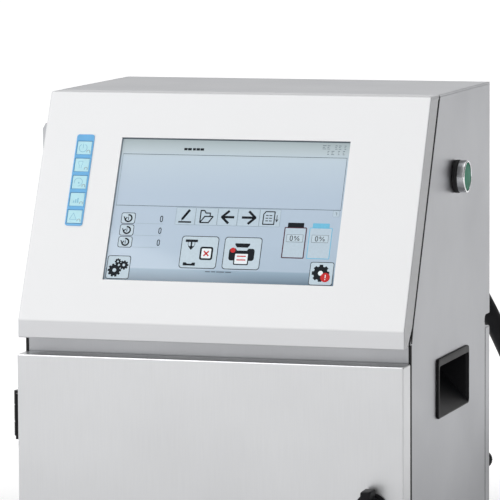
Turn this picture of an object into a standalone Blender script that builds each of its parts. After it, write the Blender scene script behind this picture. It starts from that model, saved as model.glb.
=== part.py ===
"""Date code inkjet printer: a free-standing stainless cabinet with a slanted control face,
an ink compartment behind a hinged door, and an umbilical hose that ends in a printhead.

Coordinates are cabinet coordinates: x = 0 in the middle of the cabinet (+X is right, seen
from the front), y = 0 at the door's front face (+Y is rearwards), z = 0 on the floor.
The empty "printer" shifts them so that the origin is under the middle of the machine.
"""
import math

import bmesh
import bpy
from mathutils import Matrix, Vector

# Cabinet
WIDTH = 0.370
DEPTH = 0.327
HEIGHT = 0.540
FOOT_HEIGHT = 0.025
SHEET = 0.0015
GAP = 0.0003
SEAM = 0.0015
HALF = WIDTH / 2
INSIDE = HALF - SHEET - GAP

# Slanted face, a folded tray
FACE_TOP_Y = 0.1012
FACE_FOOT_Y = 0.0032
FACE_FOOT_Z = 0.335
LIP_FOOT_Z = 0.318
LIP_DEEP = 0.012
FACE_DEEP = 0.0285
FACE_LEAN = math.atan2(FACE_TOP_Y - FACE_FOOT_Y, HEIGHT - FACE_FOOT_Z)

# Display and keypad openings, measured on the face from the middle of its lower edge
SCREEN_LOW = (-0.1080, 0.0413)
SCREEN_HIGH = (0.1134, 0.1822)
KEYPAD_LOW = (-0.1524, 0.0931)
KEYPAD_HIGH = (-0.1352, 0.1841)
KEY_NAMES = ("key_warning", "key_level", "key_jet", "key_nozzle", "key_power")
KEY_SIDE_BAR = 0.0010
KEY_LOW_BAR = 0.0018
KEY_MIDDLE_BAR = 0.0034
KEY_TOP_BAR = 0.0062

# Door, hinges and latch
DOOR_LOW = 0.041
DOOR_HIGH = 0.303
DOOR_DEEP = 0.025
DOOR_LIP = 0.014
FRAME_Y = 0.0265
FRAME_THICK = 0.002
OPENING_HALF = 0.165
OPENING_LOW = 0.055
OPENING_HIGH = 0.285
SIDE_FRONT_Y = 0.027
HINGE_AXIS = (-0.1915, 0.026)
HINGE_RADIUS = 0.006
HINGE_TALL = 0.0427
HINGE_INSET = 0.0375
LATCH = (0.1552, 0.172)

# Rear
COVER_Y = 0.310
COVER_LOW = 0.032
COVER_HIGH = 0.3025
UPPER_REAR_LOW = 0.3145
NOTCH_RADIUS = 0.0055
SIDE_REAR_Y = 0.3085
SHELF_Z = 0.3165
FAN = (-0.090, 0.450)
FAN_HALF = 0.040
INLET = (0.005, 0.375)
REAR_KNOB = (0.1762, 0.168)

# Side fittings
BUTTON = (0.190, 0.4596)
BUTTON_RADIUS = 0.0153
BUTTON_SEAL = 0.0052
LENS_RADIUS = 0.0119
HANDLE_LOW = (0.1178, 0.2388)
HANDLE_HIGH = (0.2360, 0.2948)

# Umbilical hose, coil and printhead
HOSE_RADIUS = 0.0095
GLAND = (0.1060, 0.3755)
GLAND_END_Y = 0.374
HOSE_STRAIGHT = 0.018
HOSE_TURN = 0.090
HOSE_SWEEP = 0.110
HOSE_LEAN = math.radians(27)
COIL_CENTRE = (0.345, 0.290)
COIL_INNER = 0.086
COIL_OUTER = 0.124
COIL_TALL = 0.0355
HEAD_X = 0.467
HEAD_Z = 0.021
HEAD_REAR_Y = 0.190

# How far the machine reaches past the cabinet's own faces
LEFT_REACH = 0.2295
RIGHT_REACH = 0.1975
FRONT_REACH = 0.0243
REAR_REACH = 0.3450
SHIFT = Vector(((LEFT_REACH - RIGHT_REACH) / 2, (FRONT_REACH - REAR_REACH) / 2, 0))


def clear_scene():
    for obj in list(bpy.data.objects):
        bpy.data.objects.remove(obj)


def material(name, colour, roughness, metallic=0.0):
    made = bpy.data.materials.new(name)
    made.use_nodes = True
    shader = made.node_tree.nodes["Principled BSDF"]
    shader.inputs["Base Color"].default_value = (*colour, 1)
    shader.inputs["Roughness"].default_value = roughness
    shader.inputs["Metallic"].default_value = metallic
    return made


def empty(name, place, parent=None, tilt=0.0):
    made = bpy.data.objects.new(name, None)
    made.empty_display_size = 0.02
    made.location = place
    made.rotation_euler = (tilt, 0, 0)
    made.parent = parent
    bpy.context.collection.objects.link(made)
    return made


def piece(name, form, finish, parent, pivot=(0, 0, 0), smooth=False):
    """Make an object from a bmesh in its parent's coordinates, with its origin at pivot."""
    bmesh.ops.recalc_face_normals(form, faces=form.faces)
    bmesh.ops.translate(form, verts=form.verts, vec=-Vector(pivot))
    mesh = bpy.data.meshes.new(name)
    form.to_mesh(mesh)
    form.free()
    if finish is not None:
        mesh.materials.append(finish)
    if smooth:
        mesh.shade_smooth()
        mesh.set_sharp_from_angle(angle=math.radians(35))
    made = bpy.data.objects.new(name, mesh)
    made.location = pivot
    made.parent = parent
    bpy.context.collection.objects.link(made)
    return made


def box(low, high):
    form = bmesh.new()
    middle = (Vector(low) + Vector(high)) / 2
    size = Vector(high) - Vector(low)
    bmesh.ops.create_cube(form, size=1, matrix=Matrix.Translation(middle) @ Matrix.Diagonal((*size, 1)))
    return form


def prism(outline, start, end, axis="X"):
    """Extrude a flat outline along X (its points are y, z) or along Y (its points are x, z)."""
    if axis == "X":
        spots = [(start, a, b) for a, b in outline]
        along = (1, 0, 0)
    else:
        spots = [(a, start, b) for a, b in outline]
        along = (0, 1, 0)
    form = bmesh.new()
    face = form.faces.new([form.verts.new(spot) for spot in spots])
    grown = bmesh.ops.extrude_face_region(form, geom=[face])
    moved = [item for item in grown["geom"] if isinstance(item, bmesh.types.BMVert)]
    bmesh.ops.translate(form, verts=moved, vec=Vector(along) * (end - start))
    return form


def turned(outline, centre, axis, steps=24):
    """Spin a closed outline of (radius, distance along the axis) points about an axis."""
    form = bmesh.new()
    verts = [form.verts.new((radius, 0, along)) for radius, along in outline]
    edges = []
    for first, second in zip(verts, verts[1:] + verts[:1]):
        if first.co.x > 0 or second.co.x > 0:
            edges.append(form.edges.new((first, second)))
    bmesh.ops.spin(form, geom=verts + edges, cent=(0, 0, 0), axis=(0, 0, 1),
                   angle=2 * math.pi, steps=steps, use_merge=True)
    bmesh.ops.remove_doubles(form, verts=form.verts, dist=1e-6)
    turn = Vector((0, 0, 1)).rotation_difference(Vector(axis)).to_matrix().to_4x4()
    bmesh.ops.transform(form, verts=form.verts, matrix=Matrix.Translation(centre) @ turn)
    return form


def disc(radius, start, end, centre, axis, steps):
    return turned([(0, start), (radius, start), (radius, end), (0, end)], centre, axis, steps)


def helper(name, form, parent):
    """A cutter or a shape to join: never a part of its own."""
    made = piece(name, form, None, parent)
    made.hide_render = True
    made.display_type = "WIRE"
    return made


def boolean(target, other, operation):
    step = target.modifiers.new(other.name, "BOOLEAN")
    step.object = other
    step.operation = operation
    step.solver = "EXACT"


def cut(target, name, form, parent):
    boolean(target, helper(name, form, parent), "DIFFERENCE")


def join(target, name, form, parent):
    boolean(target, helper(name, form, parent), "UNION")


def round_edges(target, width, segments=2, limit=40):
    step = target.modifiers.new("round edges", "BEVEL")
    step.width = width
    step.segments = segments
    step.limit_method = "ANGLE"
    step.angle_limit = math.radians(limit)
    step.harden_normals = False


def arc(centre, radius, first, last, count):
    points = []
    for index in range(count + 1):
        angle = math.radians(first + (last - first) * index / count)
        points.append((centre[0] + radius * math.cos(angle), centre[1] + radius * math.sin(angle)))
    return points


def curve_points(route, per_span):
    """Points on a smooth curve (Catmull-Rom) through a route's points; its two ends are straight."""
    spots = [Vector(point) for point in route]
    points = [spots[0]]
    for index in range(1, len(spots) - 2):
        before, start, end, after = spots[index - 1:index + 3]
        for step in range(per_span):
            t = step / per_span
            points.append(0.5 * (2 * start + (end - before) * t
                                 + (2 * before - 5 * start + 4 * end - after) * t ** 2
                                 + (3 * start - before - 3 * end + after) * t ** 3))
    points.extend(spots[-2:])
    return points


def tube(name, points, radius, finish, parent):
    curve = bpy.data.curves.new(name, "CURVE")
    curve.dimensions = "3D"
    curve.bevel_depth = radius
    curve.bevel_resolution = 3
    curve.use_fill_caps = True
    curve.materials.append(finish)
    spline = curve.splines.new("POLY")
    spline.points.add(len(points) - 1)
    for spot, point in zip(spline.points, points):
        spot.co = (*point, 1)
    made = bpy.data.objects.new(name, curve)
    made.parent = parent
    bpy.context.collection.objects.link(made)
    return made


def side_outline():
    """Side panel seen from the side: slanted front, and a rounded hose notch at the rear."""
    rear = DEPTH
    lean_y = FACE_FOOT_Y + FACE_DEEP + SEAM
    drop = (lean_y - SIDE_FRONT_Y) / math.tan(FACE_LEAN)
    notch = arc((SIDE_REAR_Y + 0.0035, UPPER_REAR_LOW - NOTCH_RADIUS), NOTCH_RADIUS, 230, 90, 7)
    return [
        (SIDE_FRONT_Y, FOOT_HEIGHT),
        (SIDE_REAR_Y, FOOT_HEIGHT),
        (SIDE_REAR_Y, COVER_HIGH + 0.0005),
        *notch,
        (rear, UPPER_REAR_LOW),
        (rear, HEIGHT),
        (FACE_TOP_Y + FACE_DEEP + SEAM, HEIGHT),
        (lean_y, FACE_FOOT_Z),
        (SIDE_FRONT_Y, FACE_FOOT_Z - drop),
    ]


def make_side_panel(name, side, root, steel):
    """side is +1 on the right and -1 on the left."""
    start = side * (HALF - SHEET)
    panel = piece(name, prism(side_outline(), start, side * HALF), steel, root)
    round_edges(panel, 0.0005, 1)
    low = (side * 0.178, HANDLE_LOW[0] + 0.003, HANDLE_LOW[1] + 0.003)
    high = (side * 0.190, HANDLE_HIGH[0] - 0.003, HANDLE_HIGH[1] - 0.003)
    low_x, high_x = sorted((low[0], high[0]))
    cut(panel, name + "_handle_cut", box((low_x, *low[1:]), (high_x, *high[1:])), root)
    return panel


def make_cabinet(root, steel, dark_steel):
    base = piece("base_tray", box((-INSIDE, 0.0288, FOOT_HEIGHT), (INSIDE, SIDE_REAR_Y, 0.040)), steel, root)
    cut(base, "base_hollow", box((-INSIDE + SHEET, 0.0303, 0.0265), (INSIDE - SHEET, 0.307, 0.045)), root)
    make_side_panel("left_side_panel", -1, root, steel)
    right = make_side_panel("right_side_panel", 1, root, steel)
    hole = disc(0.0114, 0.178, 0.190, (0, *BUTTON), (1, 0, 0), 20)
    cut(right, "button_hole", hole, root)

    top = piece("top_panel", box((-INSIDE, FACE_TOP_Y + FACE_DEEP + SEAM, HEIGHT - SHEET),
                                 (INSIDE, DEPTH, HEIGHT)), steel, root)
    round_edges(top, 0.0005, 1)

    sheet = box((-INSIDE, FRAME_Y, FOOT_HEIGHT), (INSIDE, FRAME_Y + FRAME_THICK, 0.3305))
    frame = piece("front_frame", sheet, steel, root)
    opening = box((-OPENING_HALF, 0.02, OPENING_LOW), (OPENING_HALF, 0.04, OPENING_HIGH))
    cut(frame, "frame_opening", opening, root)

    piece("shelf", box((-INSIDE, 0.0305, SHELF_Z), (INSIDE, 0.3252, SHELF_Z + SHEET)), dark_steel, root)

    sheet = box((-INSIDE, DEPTH - SHEET, UPPER_REAR_LOW), (INSIDE, DEPTH, HEIGHT - SHEET - GAP))
    rear = piece("rear_panel", sheet, steel, root)
    hole = disc(0.0125, 0.32, 0.33, (GLAND[0], 0, GLAND[1]), (0, 1, 0), 20)
    cut(rear, "gland_hole", hole, root)
    slots = bmesh.new()
    for row in range(-3, 4):
        height = row * 0.009
        reach = math.sqrt(0.034 ** 2 - height ** 2)
        size = Matrix.Diagonal((2 * reach, 0.01, 0.004, 1))
        place = Matrix.Translation((FAN[0], DEPTH, FAN[1] + height))
        bmesh.ops.create_cube(slots, size=1, matrix=place @ size)
    cut(rear, "fan_slots", slots, root)
    cut(rear, "inlet_cut", box((INLET[0] - 0.0140, 0.32, INLET[1] - 0.0240),
                               (INLET[0] + 0.0140, 0.33, INLET[1] + 0.0240)), root)


def make_rear_cover(root, steel, black):
    cover = piece("rear_cover", box((-HALF, COVER_Y, COVER_LOW), (HALF, DEPTH, COVER_HIGH)), steel, root)
    round_edges(cover, 0.0012, 2)
    cut(cover, "cover_hollow", box((-HALF + SHEET, COVER_Y - 0.01, COVER_LOW + SHEET),
                                   (HALF - SHEET, DEPTH - SHEET, COVER_HIGH - SHEET)), root)
    vents = bmesh.new()
    for row in range(8):
        place = Matrix.Translation((0, DEPTH, 0.062 + row * 0.010))
        bmesh.ops.create_cube(vents, size=1, matrix=place @ Matrix.Diagonal((0.150, 0.01, 0.004, 1)))
    cut(cover, "cover_vents", vents, root)
    for side, name in ((-1, "left"), (1, "right")):
        hole = disc(0.0038, 0.32, 0.33, (side * REAR_KNOB[0], 0, REAR_KNOB[1]), (0, 1, 0), 12)
        cut(cover, name + "_knob_hole", hole, root)
        outline = [(0, 0.3185), (0.0030, 0.3185), (0.0030, 0.3274), (0.0064, 0.3274), (0.0070, 0.3310),
                   (0.0091, 0.3345), (0.0091, 0.3390), (0.0072, 0.3428), (0.0040, REAR_REACH),
                   (0, REAR_REACH)]
        knob = (side * REAR_KNOB[0], 0, REAR_KNOB[1])
        piece("rear_knob_" + name, turned(outline, knob, (0, 1, 0), 16), black, root, knob, smooth=True)


def make_face(root, plane, coated, glass, black, plastics):
    """The slanted tray with the display and the keypad; plane is the tilted empty on its face."""
    outline = [
        (FACE_TOP_Y, HEIGHT),
        (FACE_FOOT_Y, FACE_FOOT_Z),
        (FACE_FOOT_Y, LIP_FOOT_Z),
        (FACE_FOOT_Y + LIP_DEEP, LIP_FOOT_Z),
        (FACE_FOOT_Y + FACE_DEEP, FACE_FOOT_Z),
        (FACE_TOP_Y + FACE_DEEP, HEIGHT),
    ]
    face = piece("face_panel", prism(outline, -HALF, HALF), coated, root)
    round_edges(face, 0.0010, 2, 20)
    hollow = [
        (FACE_TOP_Y + 0.0010, HEIGHT - SHEET),
        (FACE_FOOT_Y + 0.0017, FACE_FOOT_Z - 0.0003),
        (FACE_FOOT_Y + 0.0017, LIP_FOOT_Z + SHEET),
        (FACE_FOOT_Y + 0.030, LIP_FOOT_Z + SHEET),
        (FACE_TOP_Y + 0.045, HEIGHT - SHEET),
    ]
    cut(face, "face_hollow", prism(hollow, -HALF + SHEET, HALF - SHEET), root)
    cut(face, "display_cut", box((*SCREEN_LOW, -0.008), (*SCREEN_HIGH, 0.004)), plane)
    cut(face, "keypad_cut", box((*KEYPAD_LOW, -0.008), (*KEYPAD_HIGH, 0.004)), plane)

    edge = 0.005
    low = (SCREEN_LOW[0] - edge, SCREEN_LOW[1] - edge)
    high = (SCREEN_HIGH[0] + edge, SCREEN_HIGH[1] + edge)
    piece("touch_glass", box((*low, -0.0038), (*high, -0.0020)), glass, plane)
    module = piece("lcd_module", box((*low, -0.0138), (*high, -0.0041)), black, plane)
    round_edges(module, 0.001, 1)

    frame_low = (KEYPAD_LOW[0] + GAP, KEYPAD_LOW[1] + GAP)
    frame_high = (KEYPAD_HIGH[0] - GAP, KEYPAD_HIGH[1] - GAP)
    frame = piece("keypad_frame", box((*frame_low, -0.0042), (*frame_high, 0.0007)), plastics["blue"], plane)
    cells = bmesh.new()
    cell_wide = frame_high[0] - frame_low[0] - 2 * KEY_SIDE_BAR
    bars = KEY_TOP_BAR + KEY_LOW_BAR + KEY_MIDDLE_BAR * (len(KEY_NAMES) - 1)
    cell_tall = (frame_high[1] - frame_low[1] - bars) / len(KEY_NAMES)
    middle_x = (frame_low[0] + frame_high[0]) / 2
    for index, name in enumerate(KEY_NAMES):
        middle_y = frame_low[1] + KEY_LOW_BAR + cell_tall / 2 + index * (cell_tall + KEY_MIDDLE_BAR)
        place = Matrix.Translation((middle_x, middle_y, 0))
        size = Matrix.Diagonal((cell_wide, cell_tall, 0.0044, 1))
        bmesh.ops.create_cube(cells, size=1, matrix=place @ size)
        half_x = cell_wide / 2 - GAP
        half_y = cell_tall / 2 - GAP
        key = piece(name, box((middle_x - half_x, middle_y - half_y, -0.0010),
                              (middle_x + half_x, middle_y + half_y, 0.0005)),
                    plastics["cyan"], plane, (middle_x, middle_y, 0))
        round_edges(key, 0.0003, 1)
    cut(frame, "keypad_cells", cells, plane)


def make_door(root, steel, black, rubber):
    """The door's own coordinates are the cabinet's; its parent empty is on the hinge axis."""
    axis = Vector((HINGE_AXIS[0], HINGE_AXIS[1], 0))
    swing = empty("door_swing", axis, root)
    inner = empty("door_frame_of_reference", -axis, swing)

    door = piece("door", box((-HALF, 0, DOOR_LOW), (HALF, DOOR_DEEP, DOOR_HIGH)), steel, inner)
    round_edges(door, 0.0012, 2)
    cut(door, "door_hollow", box((-HALF + SHEET, SHEET, DOOR_LOW + SHEET),
                                 (HALF - SHEET, DOOR_DEEP - SHEET, DOOR_HIGH - SHEET)), inner)
    cut(door, "door_back", box((-HALF + DOOR_LIP, 0.01, DOOR_LOW + DOOR_LIP),
                               (HALF - DOOR_LIP, 0.03, DOOR_HIGH - DOOR_LIP)), inner)
    hole = disc(0.0050, -0.01, 0.01, (LATCH[0], 0, LATCH[1]), (0, 1, 0), 16)
    cut(door, "latch_hole", hole, inner)

    gasket = piece("door_gasket", box((-HALF + 0.002, DOOR_DEEP + GAP, DOOR_LOW + 0.002),
                                      (HALF - 0.002, FRAME_Y - GAP, DOOR_HIGH - 0.002)), rubber, inner)
    cut(gasket, "gasket_middle", box((-HALF + DOOR_LIP, 0.02, DOOR_LOW + DOOR_LIP),
                                     (HALF - DOOR_LIP, 0.03, DOOR_HIGH - DOOR_LIP)), inner)

    for low, name in ((DOOR_HIGH - HINGE_INSET - HINGE_TALL, "upper"), (DOOR_LOW + HINGE_INSET, "lower")):
        make_hinge(name, low, root, inner, black)

    centre = (LATCH[0], 0, LATCH[1])
    ring = [(0.0046, -0.0003), (0.0046, -0.0036), (0.0150, -0.0036), (0.0158, -0.0028), (0.0158, -0.0003)]
    piece("latch_base", turned(ring, centre, (0, 1, 0), 24), black, inner, centre, smooth=True)
    shaft = [(0, -0.0090), (0.0118, -0.0090), (0.0128, -0.0080), (0.0128, -0.0040), (0.0040, -0.0040),
             (0.0040, 0.0330), (0, 0.0330)]
    knob = piece("latch_knob", turned(shaft, centre, (0, 1, 0), 20), black, inner, centre, smooth=True)
    wing = prism(wing_outline(), LATCH[0] - 0.0052, LATCH[0] + 0.0052)
    join(knob, "latch_wing", wing, inner)
    piece("latch_cam", box((LATCH[0] - 0.006, 0.0333, LATCH[1] - 0.006),
                           (LATCH[0] + 0.006, 0.0353, LATCH[1] + 0.024)), steel, inner, centre)


def wing_outline():
    """The upright grip of the latch seen from the side: round top corners, 40 mm tall."""
    front = -FRONT_REACH
    top = LATCH[1] + 0.020
    low = LATCH[1] - 0.020
    corner = 0.005
    return [
        (-0.0060, low),
        *arc((front + corner, low + corner), corner, 270, 180, 3),
        *arc((front + corner, top - corner), corner, 180, 90, 3),
        (-0.0060, top),
    ]


def make_hinge(name, low, root, door_side, black):
    """A bracket with its pin on the cabinet, and a leaf with the middle knuckle on the door."""
    centre = (HINGE_AXIS[0], HINGE_AXIS[1], 0)
    high = low + HINGE_TALL
    knuckle = HINGE_TALL * 0.31
    pin = 0.0019
    outline = [(0, low), (HINGE_RADIUS, low), (HINGE_RADIUS, low + knuckle), (pin, low + knuckle),
               (pin, high - knuckle), (HINGE_RADIUS, high - knuckle), (HINGE_RADIUS, high), (0, high)]
    inner_x = -HALF - GAP
    outer_x = inner_x - 0.0025
    clear = HINGE_RADIUS + 0.0006
    bracket = piece("hinge_bracket_" + name, turned(outline, centre, (0, 0, 1), 16), black, root, smooth=True)
    plate = box((outer_x, HINGE_AXIS[1] + clear, low), (inner_x, 0.052, high))
    join(bracket, "bracket_plate_" + name, plate, root)
    for index, start in enumerate((low, high - knuckle)):
        bridge = box((outer_x, HINGE_AXIS[1], start + 0.0001),
                     (inner_x - 0.0001, HINGE_AXIS[1] + clear + 0.002, start + knuckle - 0.0001))
        join(bracket, f"bracket_bridge_{name}_{index}", bridge, root)

    middle_low = low + knuckle + 0.0005
    middle_high = high - knuckle - 0.0005
    bore = 0.0023
    outline = [(bore, middle_low), (HINGE_RADIUS, middle_low), (HINGE_RADIUS, middle_high),
               (bore, middle_high)]
    knuckle_form = turned(outline, centre, (0, 0, 1), 16)
    leaf = piece("hinge_leaf_" + name, knuckle_form, black, door_side, centre, smooth=True)
    plate = box((outer_x, 0.002, low), (inner_x, HINGE_AXIS[1] - clear, high))
    join(leaf, "leaf_plate_" + name, plate, door_side)
    bridge = box((outer_x, HINGE_AXIS[1] - clear - 0.002, middle_low + 0.0001),
                 (inner_x - 0.0001, HINGE_AXIS[1] - 0.002, middle_high - 0.0001))
    join(leaf, "leaf_bridge_" + name, bridge, door_side)


def make_power_button(root, rubber, chrome, green, black):
    centre = (0, *BUTTON)
    reach = RIGHT_REACH
    seal = HALF + BUTTON_SEAL
    rim = LENS_RADIUS + 0.0006
    outer = BUTTON_RADIUS + 0.0003
    ring = [(0.0112, HALF + GAP), (outer, HALF + GAP), (outer, seal - GAP), (0.0112, seal - GAP)]
    piece("button_gasket", turned(ring, centre, (1, 0, 0), 28), rubber, root, smooth=True)
    bezel = [(0.0094, 0.160), (0.0108, 0.160), (0.0108, seal), (BUTTON_RADIUS, seal),
             (BUTTON_RADIUS, reach - 0.0007), (BUTTON_RADIUS - 0.0007, reach), (rim + 0.0004, reach),
             (rim, reach - 0.0005), (rim, reach - 0.0060), (0.0094, reach - 0.0060)]
    piece("button_bezel", turned(bezel, centre, (1, 0, 0), 28), chrome, root, smooth=True)
    lens = [(0, 0.172), (0.0086, 0.172), (0.0086, reach - 0.0026), (LENS_RADIUS, reach - 0.0026),
            (LENS_RADIUS, reach - 0.0013), (LENS_RADIUS - 0.0006, reach - 0.0008), (0, reach - 0.0008)]
    lens_centre = (reach - 0.0026, *BUTTON)
    piece("button_lens", turned(lens, centre, (1, 0, 0), 28), green, root, lens_centre, smooth=True)
    block = piece("button_contact_block", box((0.128, BUTTON[0] - 0.0145, BUTTON[1] - 0.0145),
                                              (0.1597, BUTTON[0] + 0.0145, BUTTON[1] + 0.0145)), black, root)
    round_edges(block, 0.002, 1)


def make_handle(name, side, root, black):
    """A recessed pull: a rim on the side panel, and a scoop with a sloping floor behind it."""
    rim_low = (side * (HALF + GAP), *HANDLE_LOW)
    rim_high = (side * (HALF + 0.0025), *HANDLE_HIGH)
    low_x, high_x = sorted((rim_low[0], rim_high[0]))
    handle = piece(name, box((low_x, *rim_low[1:]), (high_x, *rim_high[1:])), black, root)
    round_edges(handle, 0.0011, 2)
    inset = 0.0038
    low_x, high_x = sorted((side * 0.152, side * (HALF + 0.0015)))
    shell = box((low_x, HANDLE_LOW[0] + inset, HANDLE_LOW[1] + inset),
                (high_x, HANDLE_HIGH[0] - inset, HANDLE_HIGH[1] - inset))
    join(handle, name + "_shell", shell, root)
    wall = inset + 0.0022
    low_z = HANDLE_LOW[1] + wall
    high_z = HANDLE_HIGH[1] - wall
    scoop = [(side * 0.195, low_z - 0.0008), (side * 0.186, low_z), (side * 0.1542, low_z + 0.019),
             (side * 0.1542, high_z), (side * 0.195, high_z)]
    cut(handle, name + "_scoop", prism(scoop, HANDLE_LOW[0] + wall, HANDLE_HIGH[0] - wall, "Y"), root)


def make_printhead_holder(root, steel):
    """An open-topped pocket of folded sheet on the left side, where the head is parked."""
    near = -HALF - GAP
    far = -LEFT_REACH
    front = 0.2000
    rear = 0.2480
    low = 0.4195
    high = 0.5020
    outline = [(near, low), (far, low), (far, high - 0.005), (far + 0.003, high), (near, high)]
    pocket = piece("printhead_holder", prism(outline, front, rear, "Y"), steel, root)
    hollow = box((far + SHEET, front + SHEET, low + SHEET), (near - SHEET, rear - SHEET, high + 0.01))
    cut(pocket, "holder_hollow", hollow, root)


def make_rear_electrics(root, black, grey_plastic):
    x, z = INLET
    plate = box((x - 0.0170, DEPTH + GAP, z - 0.0270), (x + 0.0170, DEPTH + 0.0030, z + 0.0270))
    inlet = piece("mains_inlet", plate, black, root)
    round_edges(inlet, 0.0008, 1)
    body = box((x - 0.0136, 0.304, z - 0.0236), (x + 0.0136, DEPTH + 0.0020, z + 0.0236))
    join(inlet, "inlet_body", body, root)
    cut(inlet, "inlet_socket", box((x - 0.0118, 0.312, z - 0.0216), (x + 0.0118, 0.335, z - 0.0016)), root)
    cut(inlet, "switch_pocket", box((x - 0.0105, 0.313, z + 0.0030), (x + 0.0105, 0.335, z + 0.0216)), root)
    for index, (across, up) in enumerate(((-0.0070, -0.0136), (0.0, -0.0096), (0.0070, -0.0136))):
        blade = box((x + across - 0.001, 0.310, z + up - 0.002), (x + across + 0.001, 0.325, z + up + 0.002))
        join(inlet, f"inlet_blade_{index}", blade, root)
    pivot = (x, 0.3225, z + 0.0123)
    tilt = math.radians(8)
    rocker = box((x - 0.0098, pivot[1] - 0.004, pivot[2] - 0.0078),
                 (x + 0.0098, pivot[1] + 0.0075, pivot[2] + 0.0078))
    bmesh.ops.rotate(rocker, verts=rocker.verts, cent=pivot, matrix=Matrix.Rotation(tilt, 3, "X"))
    piece("mains_switch", rocker, grey_plastic, root, pivot)

    rear = DEPTH - SHEET - GAP
    front = rear - 0.025
    fx, fz = FAN
    fan = piece("fan_frame", box((fx - FAN_HALF, front, fz - FAN_HALF), (fx + FAN_HALF, rear, fz + FAN_HALF)),
                black, root)
    bore = turned([(0, 0.29), (0.038, 0.29), (0.038, 0.33), (0, 0.33)], (fx, 0, fz), (0, 1, 0), 32)
    cut(fan, "fan_bore", bore, root)
    across = box((fx - 0.039, front + 0.0005, fz - 0.003), (fx + 0.039, front + 0.0035, fz + 0.003))
    join(fan, "fan_strut_across", across, root)
    upright = box((fx - 0.003, front + 0.0006, fz - 0.039), (fx + 0.003, front + 0.0034, fz + 0.039))
    join(fan, "fan_strut_up", upright, root)
    hub = [(0, front + 0.0045), (0.0145, front + 0.0045), (0.0145, rear - 0.0035), (0.0135, rear - 0.0025),
           (0, rear - 0.0025)]
    centre = (fx, 0, fz)
    rotor = piece("fan_rotor", turned(hub, centre, (0, 1, 0), 20), black, root, centre, smooth=True)
    blades = bmesh.new()
    middle = (front + rear) / 2 + 0.001
    count = 7
    for index in range(count):
        turn = Matrix.Rotation(2 * math.pi * index / count, 4, "Y")
        twist = Matrix.Rotation(math.radians(38), 4, "Z")
        size = Matrix.Diagonal((0.0014, 0.0150, 0.0230, 1))
        place = Matrix.Translation((fx, middle, fz)) @ turn @ Matrix.Translation((0, 0, 0.0245)) @ twist
        bmesh.ops.create_cube(blades, size=1, matrix=place @ size)
    join(rotor, "fan_blades", blades, root)


def make_electronics(root, board_green, dark_steel):
    floor = SHELF_Z + SHEET + GAP
    board = piece("controller_board", box((-0.020, 0.130, floor + 0.010), (0.120, 0.240, floor + 0.0116)),
                  board_green, root)
    corners = ((-0.014, 0.136), (0.114, 0.136), (-0.014, 0.234), (0.114, 0.234))
    stud = [(0, floor), (0.003, floor), (0.003, floor + 0.0105), (0, floor + 0.0105)]
    for index, (x, y) in enumerate(corners):
        post = turned(stud, (x, y, 0), (0, 0, 1), 8)
        join(board, f"board_post_{index}", post, root)
    chips = ((0.030, 0.180, 0.028, 0.028, 0.003), (0.085, 0.170, 0.020, 0.016, 0.008),
             (0.000, 0.225, 0.030, 0.012, 0.011), (0.075, 0.225, 0.050, 0.012, 0.011))
    for index, (x, y, wide, deep, tall) in enumerate(chips):
        part = box((x - wide / 2, y - deep / 2, floor + 0.011),
                   (x + wide / 2, y + deep / 2, floor + 0.0116 + tall))
        join(board, f"board_part_{index}", part, root)
    case = box((-0.165, 0.120, floor), (-0.066, 0.280, floor + 0.040))
    supply = piece("power_supply", case, dark_steel, root)
    round_edges(supply, 0.001, 1)


def make_bottle(name, low, high, neck, root, finish, cap_finish):
    """A square bottle with a screw cap; neck is the place of the cap's axis."""
    body = piece(name, box(low, high), finish, root, smooth=True)
    round_edges(body, 0.010, 3)
    top = high[2]
    spout = [(0, top - 0.004), (0.0170, top - 0.004), (0.0170, top + 0.014), (0, top + 0.014)]
    join(body, name + "_neck", turned(spout, (*neck, 0), (0, 0, 1), 20), root)
    cap = [(0.0178, top + 0.0010), (0.0220, top + 0.0010), (0.0220, top + 0.0180), (0.0205, top + 0.0195),
           (0, top + 0.0195), (0, top + 0.0145), (0.0178, top + 0.0145)]
    piece(name.replace("tank", "cap"), turned(cap, (*neck, 0), (0, 0, 1), 20), cap_finish, root,
          (*neck, top), smooth=True)


def make_hydraulics(root, plastics, metal, steel):
    floor = 0.0265 + GAP
    make_bottle("ink_tank", (-0.160, 0.062, floor), (-0.062, 0.180, 0.190), (-0.111, 0.121), root,
                plastics["black"], plastics["black"])
    make_bottle("solvent_tank", (0.040, 0.062, floor), (0.138, 0.180, 0.190), (0.089, 0.121), root,
                plastics["clear"], plastics["cyan"])
    motor = [(0, floor), (0.0215, floor), (0.0230, floor + 0.002), (0.0230, floor + 0.062),
             (0.0150, floor + 0.064), (0, floor + 0.064)]
    piece("pump_motor", turned(motor, (-0.010, 0.240, 0), (0, 0, 1), 20), metal, root, smooth=True)
    pump = piece("ink_pump", box((-0.032, 0.218, floor + 0.0643), (0.012, 0.262, floor + 0.096)), steel, root)
    round_edges(pump, 0.003, 1)
    top = floor + 0.130
    can = [(0, floor), (0.0240, floor), (0.0250, floor + 0.001), (0.0250, top), (0.0180, top + 0.006),
           (0.0080, top + 0.006), (0.0080, top + 0.016), (0, top + 0.016)]
    piece("ink_filter", turned(can, (-0.105, 0.240, 0), (0, 0, 1), 20), plastics["white"], root, smooth=True)
    block = piece("valve_manifold", box((0.050, 0.240, 0.150), (0.160, 0.290, 0.180)), metal, root)
    round_edges(block, 0.001, 1)
    for index in range(4):
        x = 0.064 + index * 0.0275
        coil = box((x - 0.010, 0.224, 0.154), (x + 0.010, 0.2405, 0.176))
        join(block, f"valve_{index}", coil, root)
    join(block, "manifold_stand", box((0.055, 0.262, floor), (0.155, 0.288, 0.1505)), root)


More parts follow.
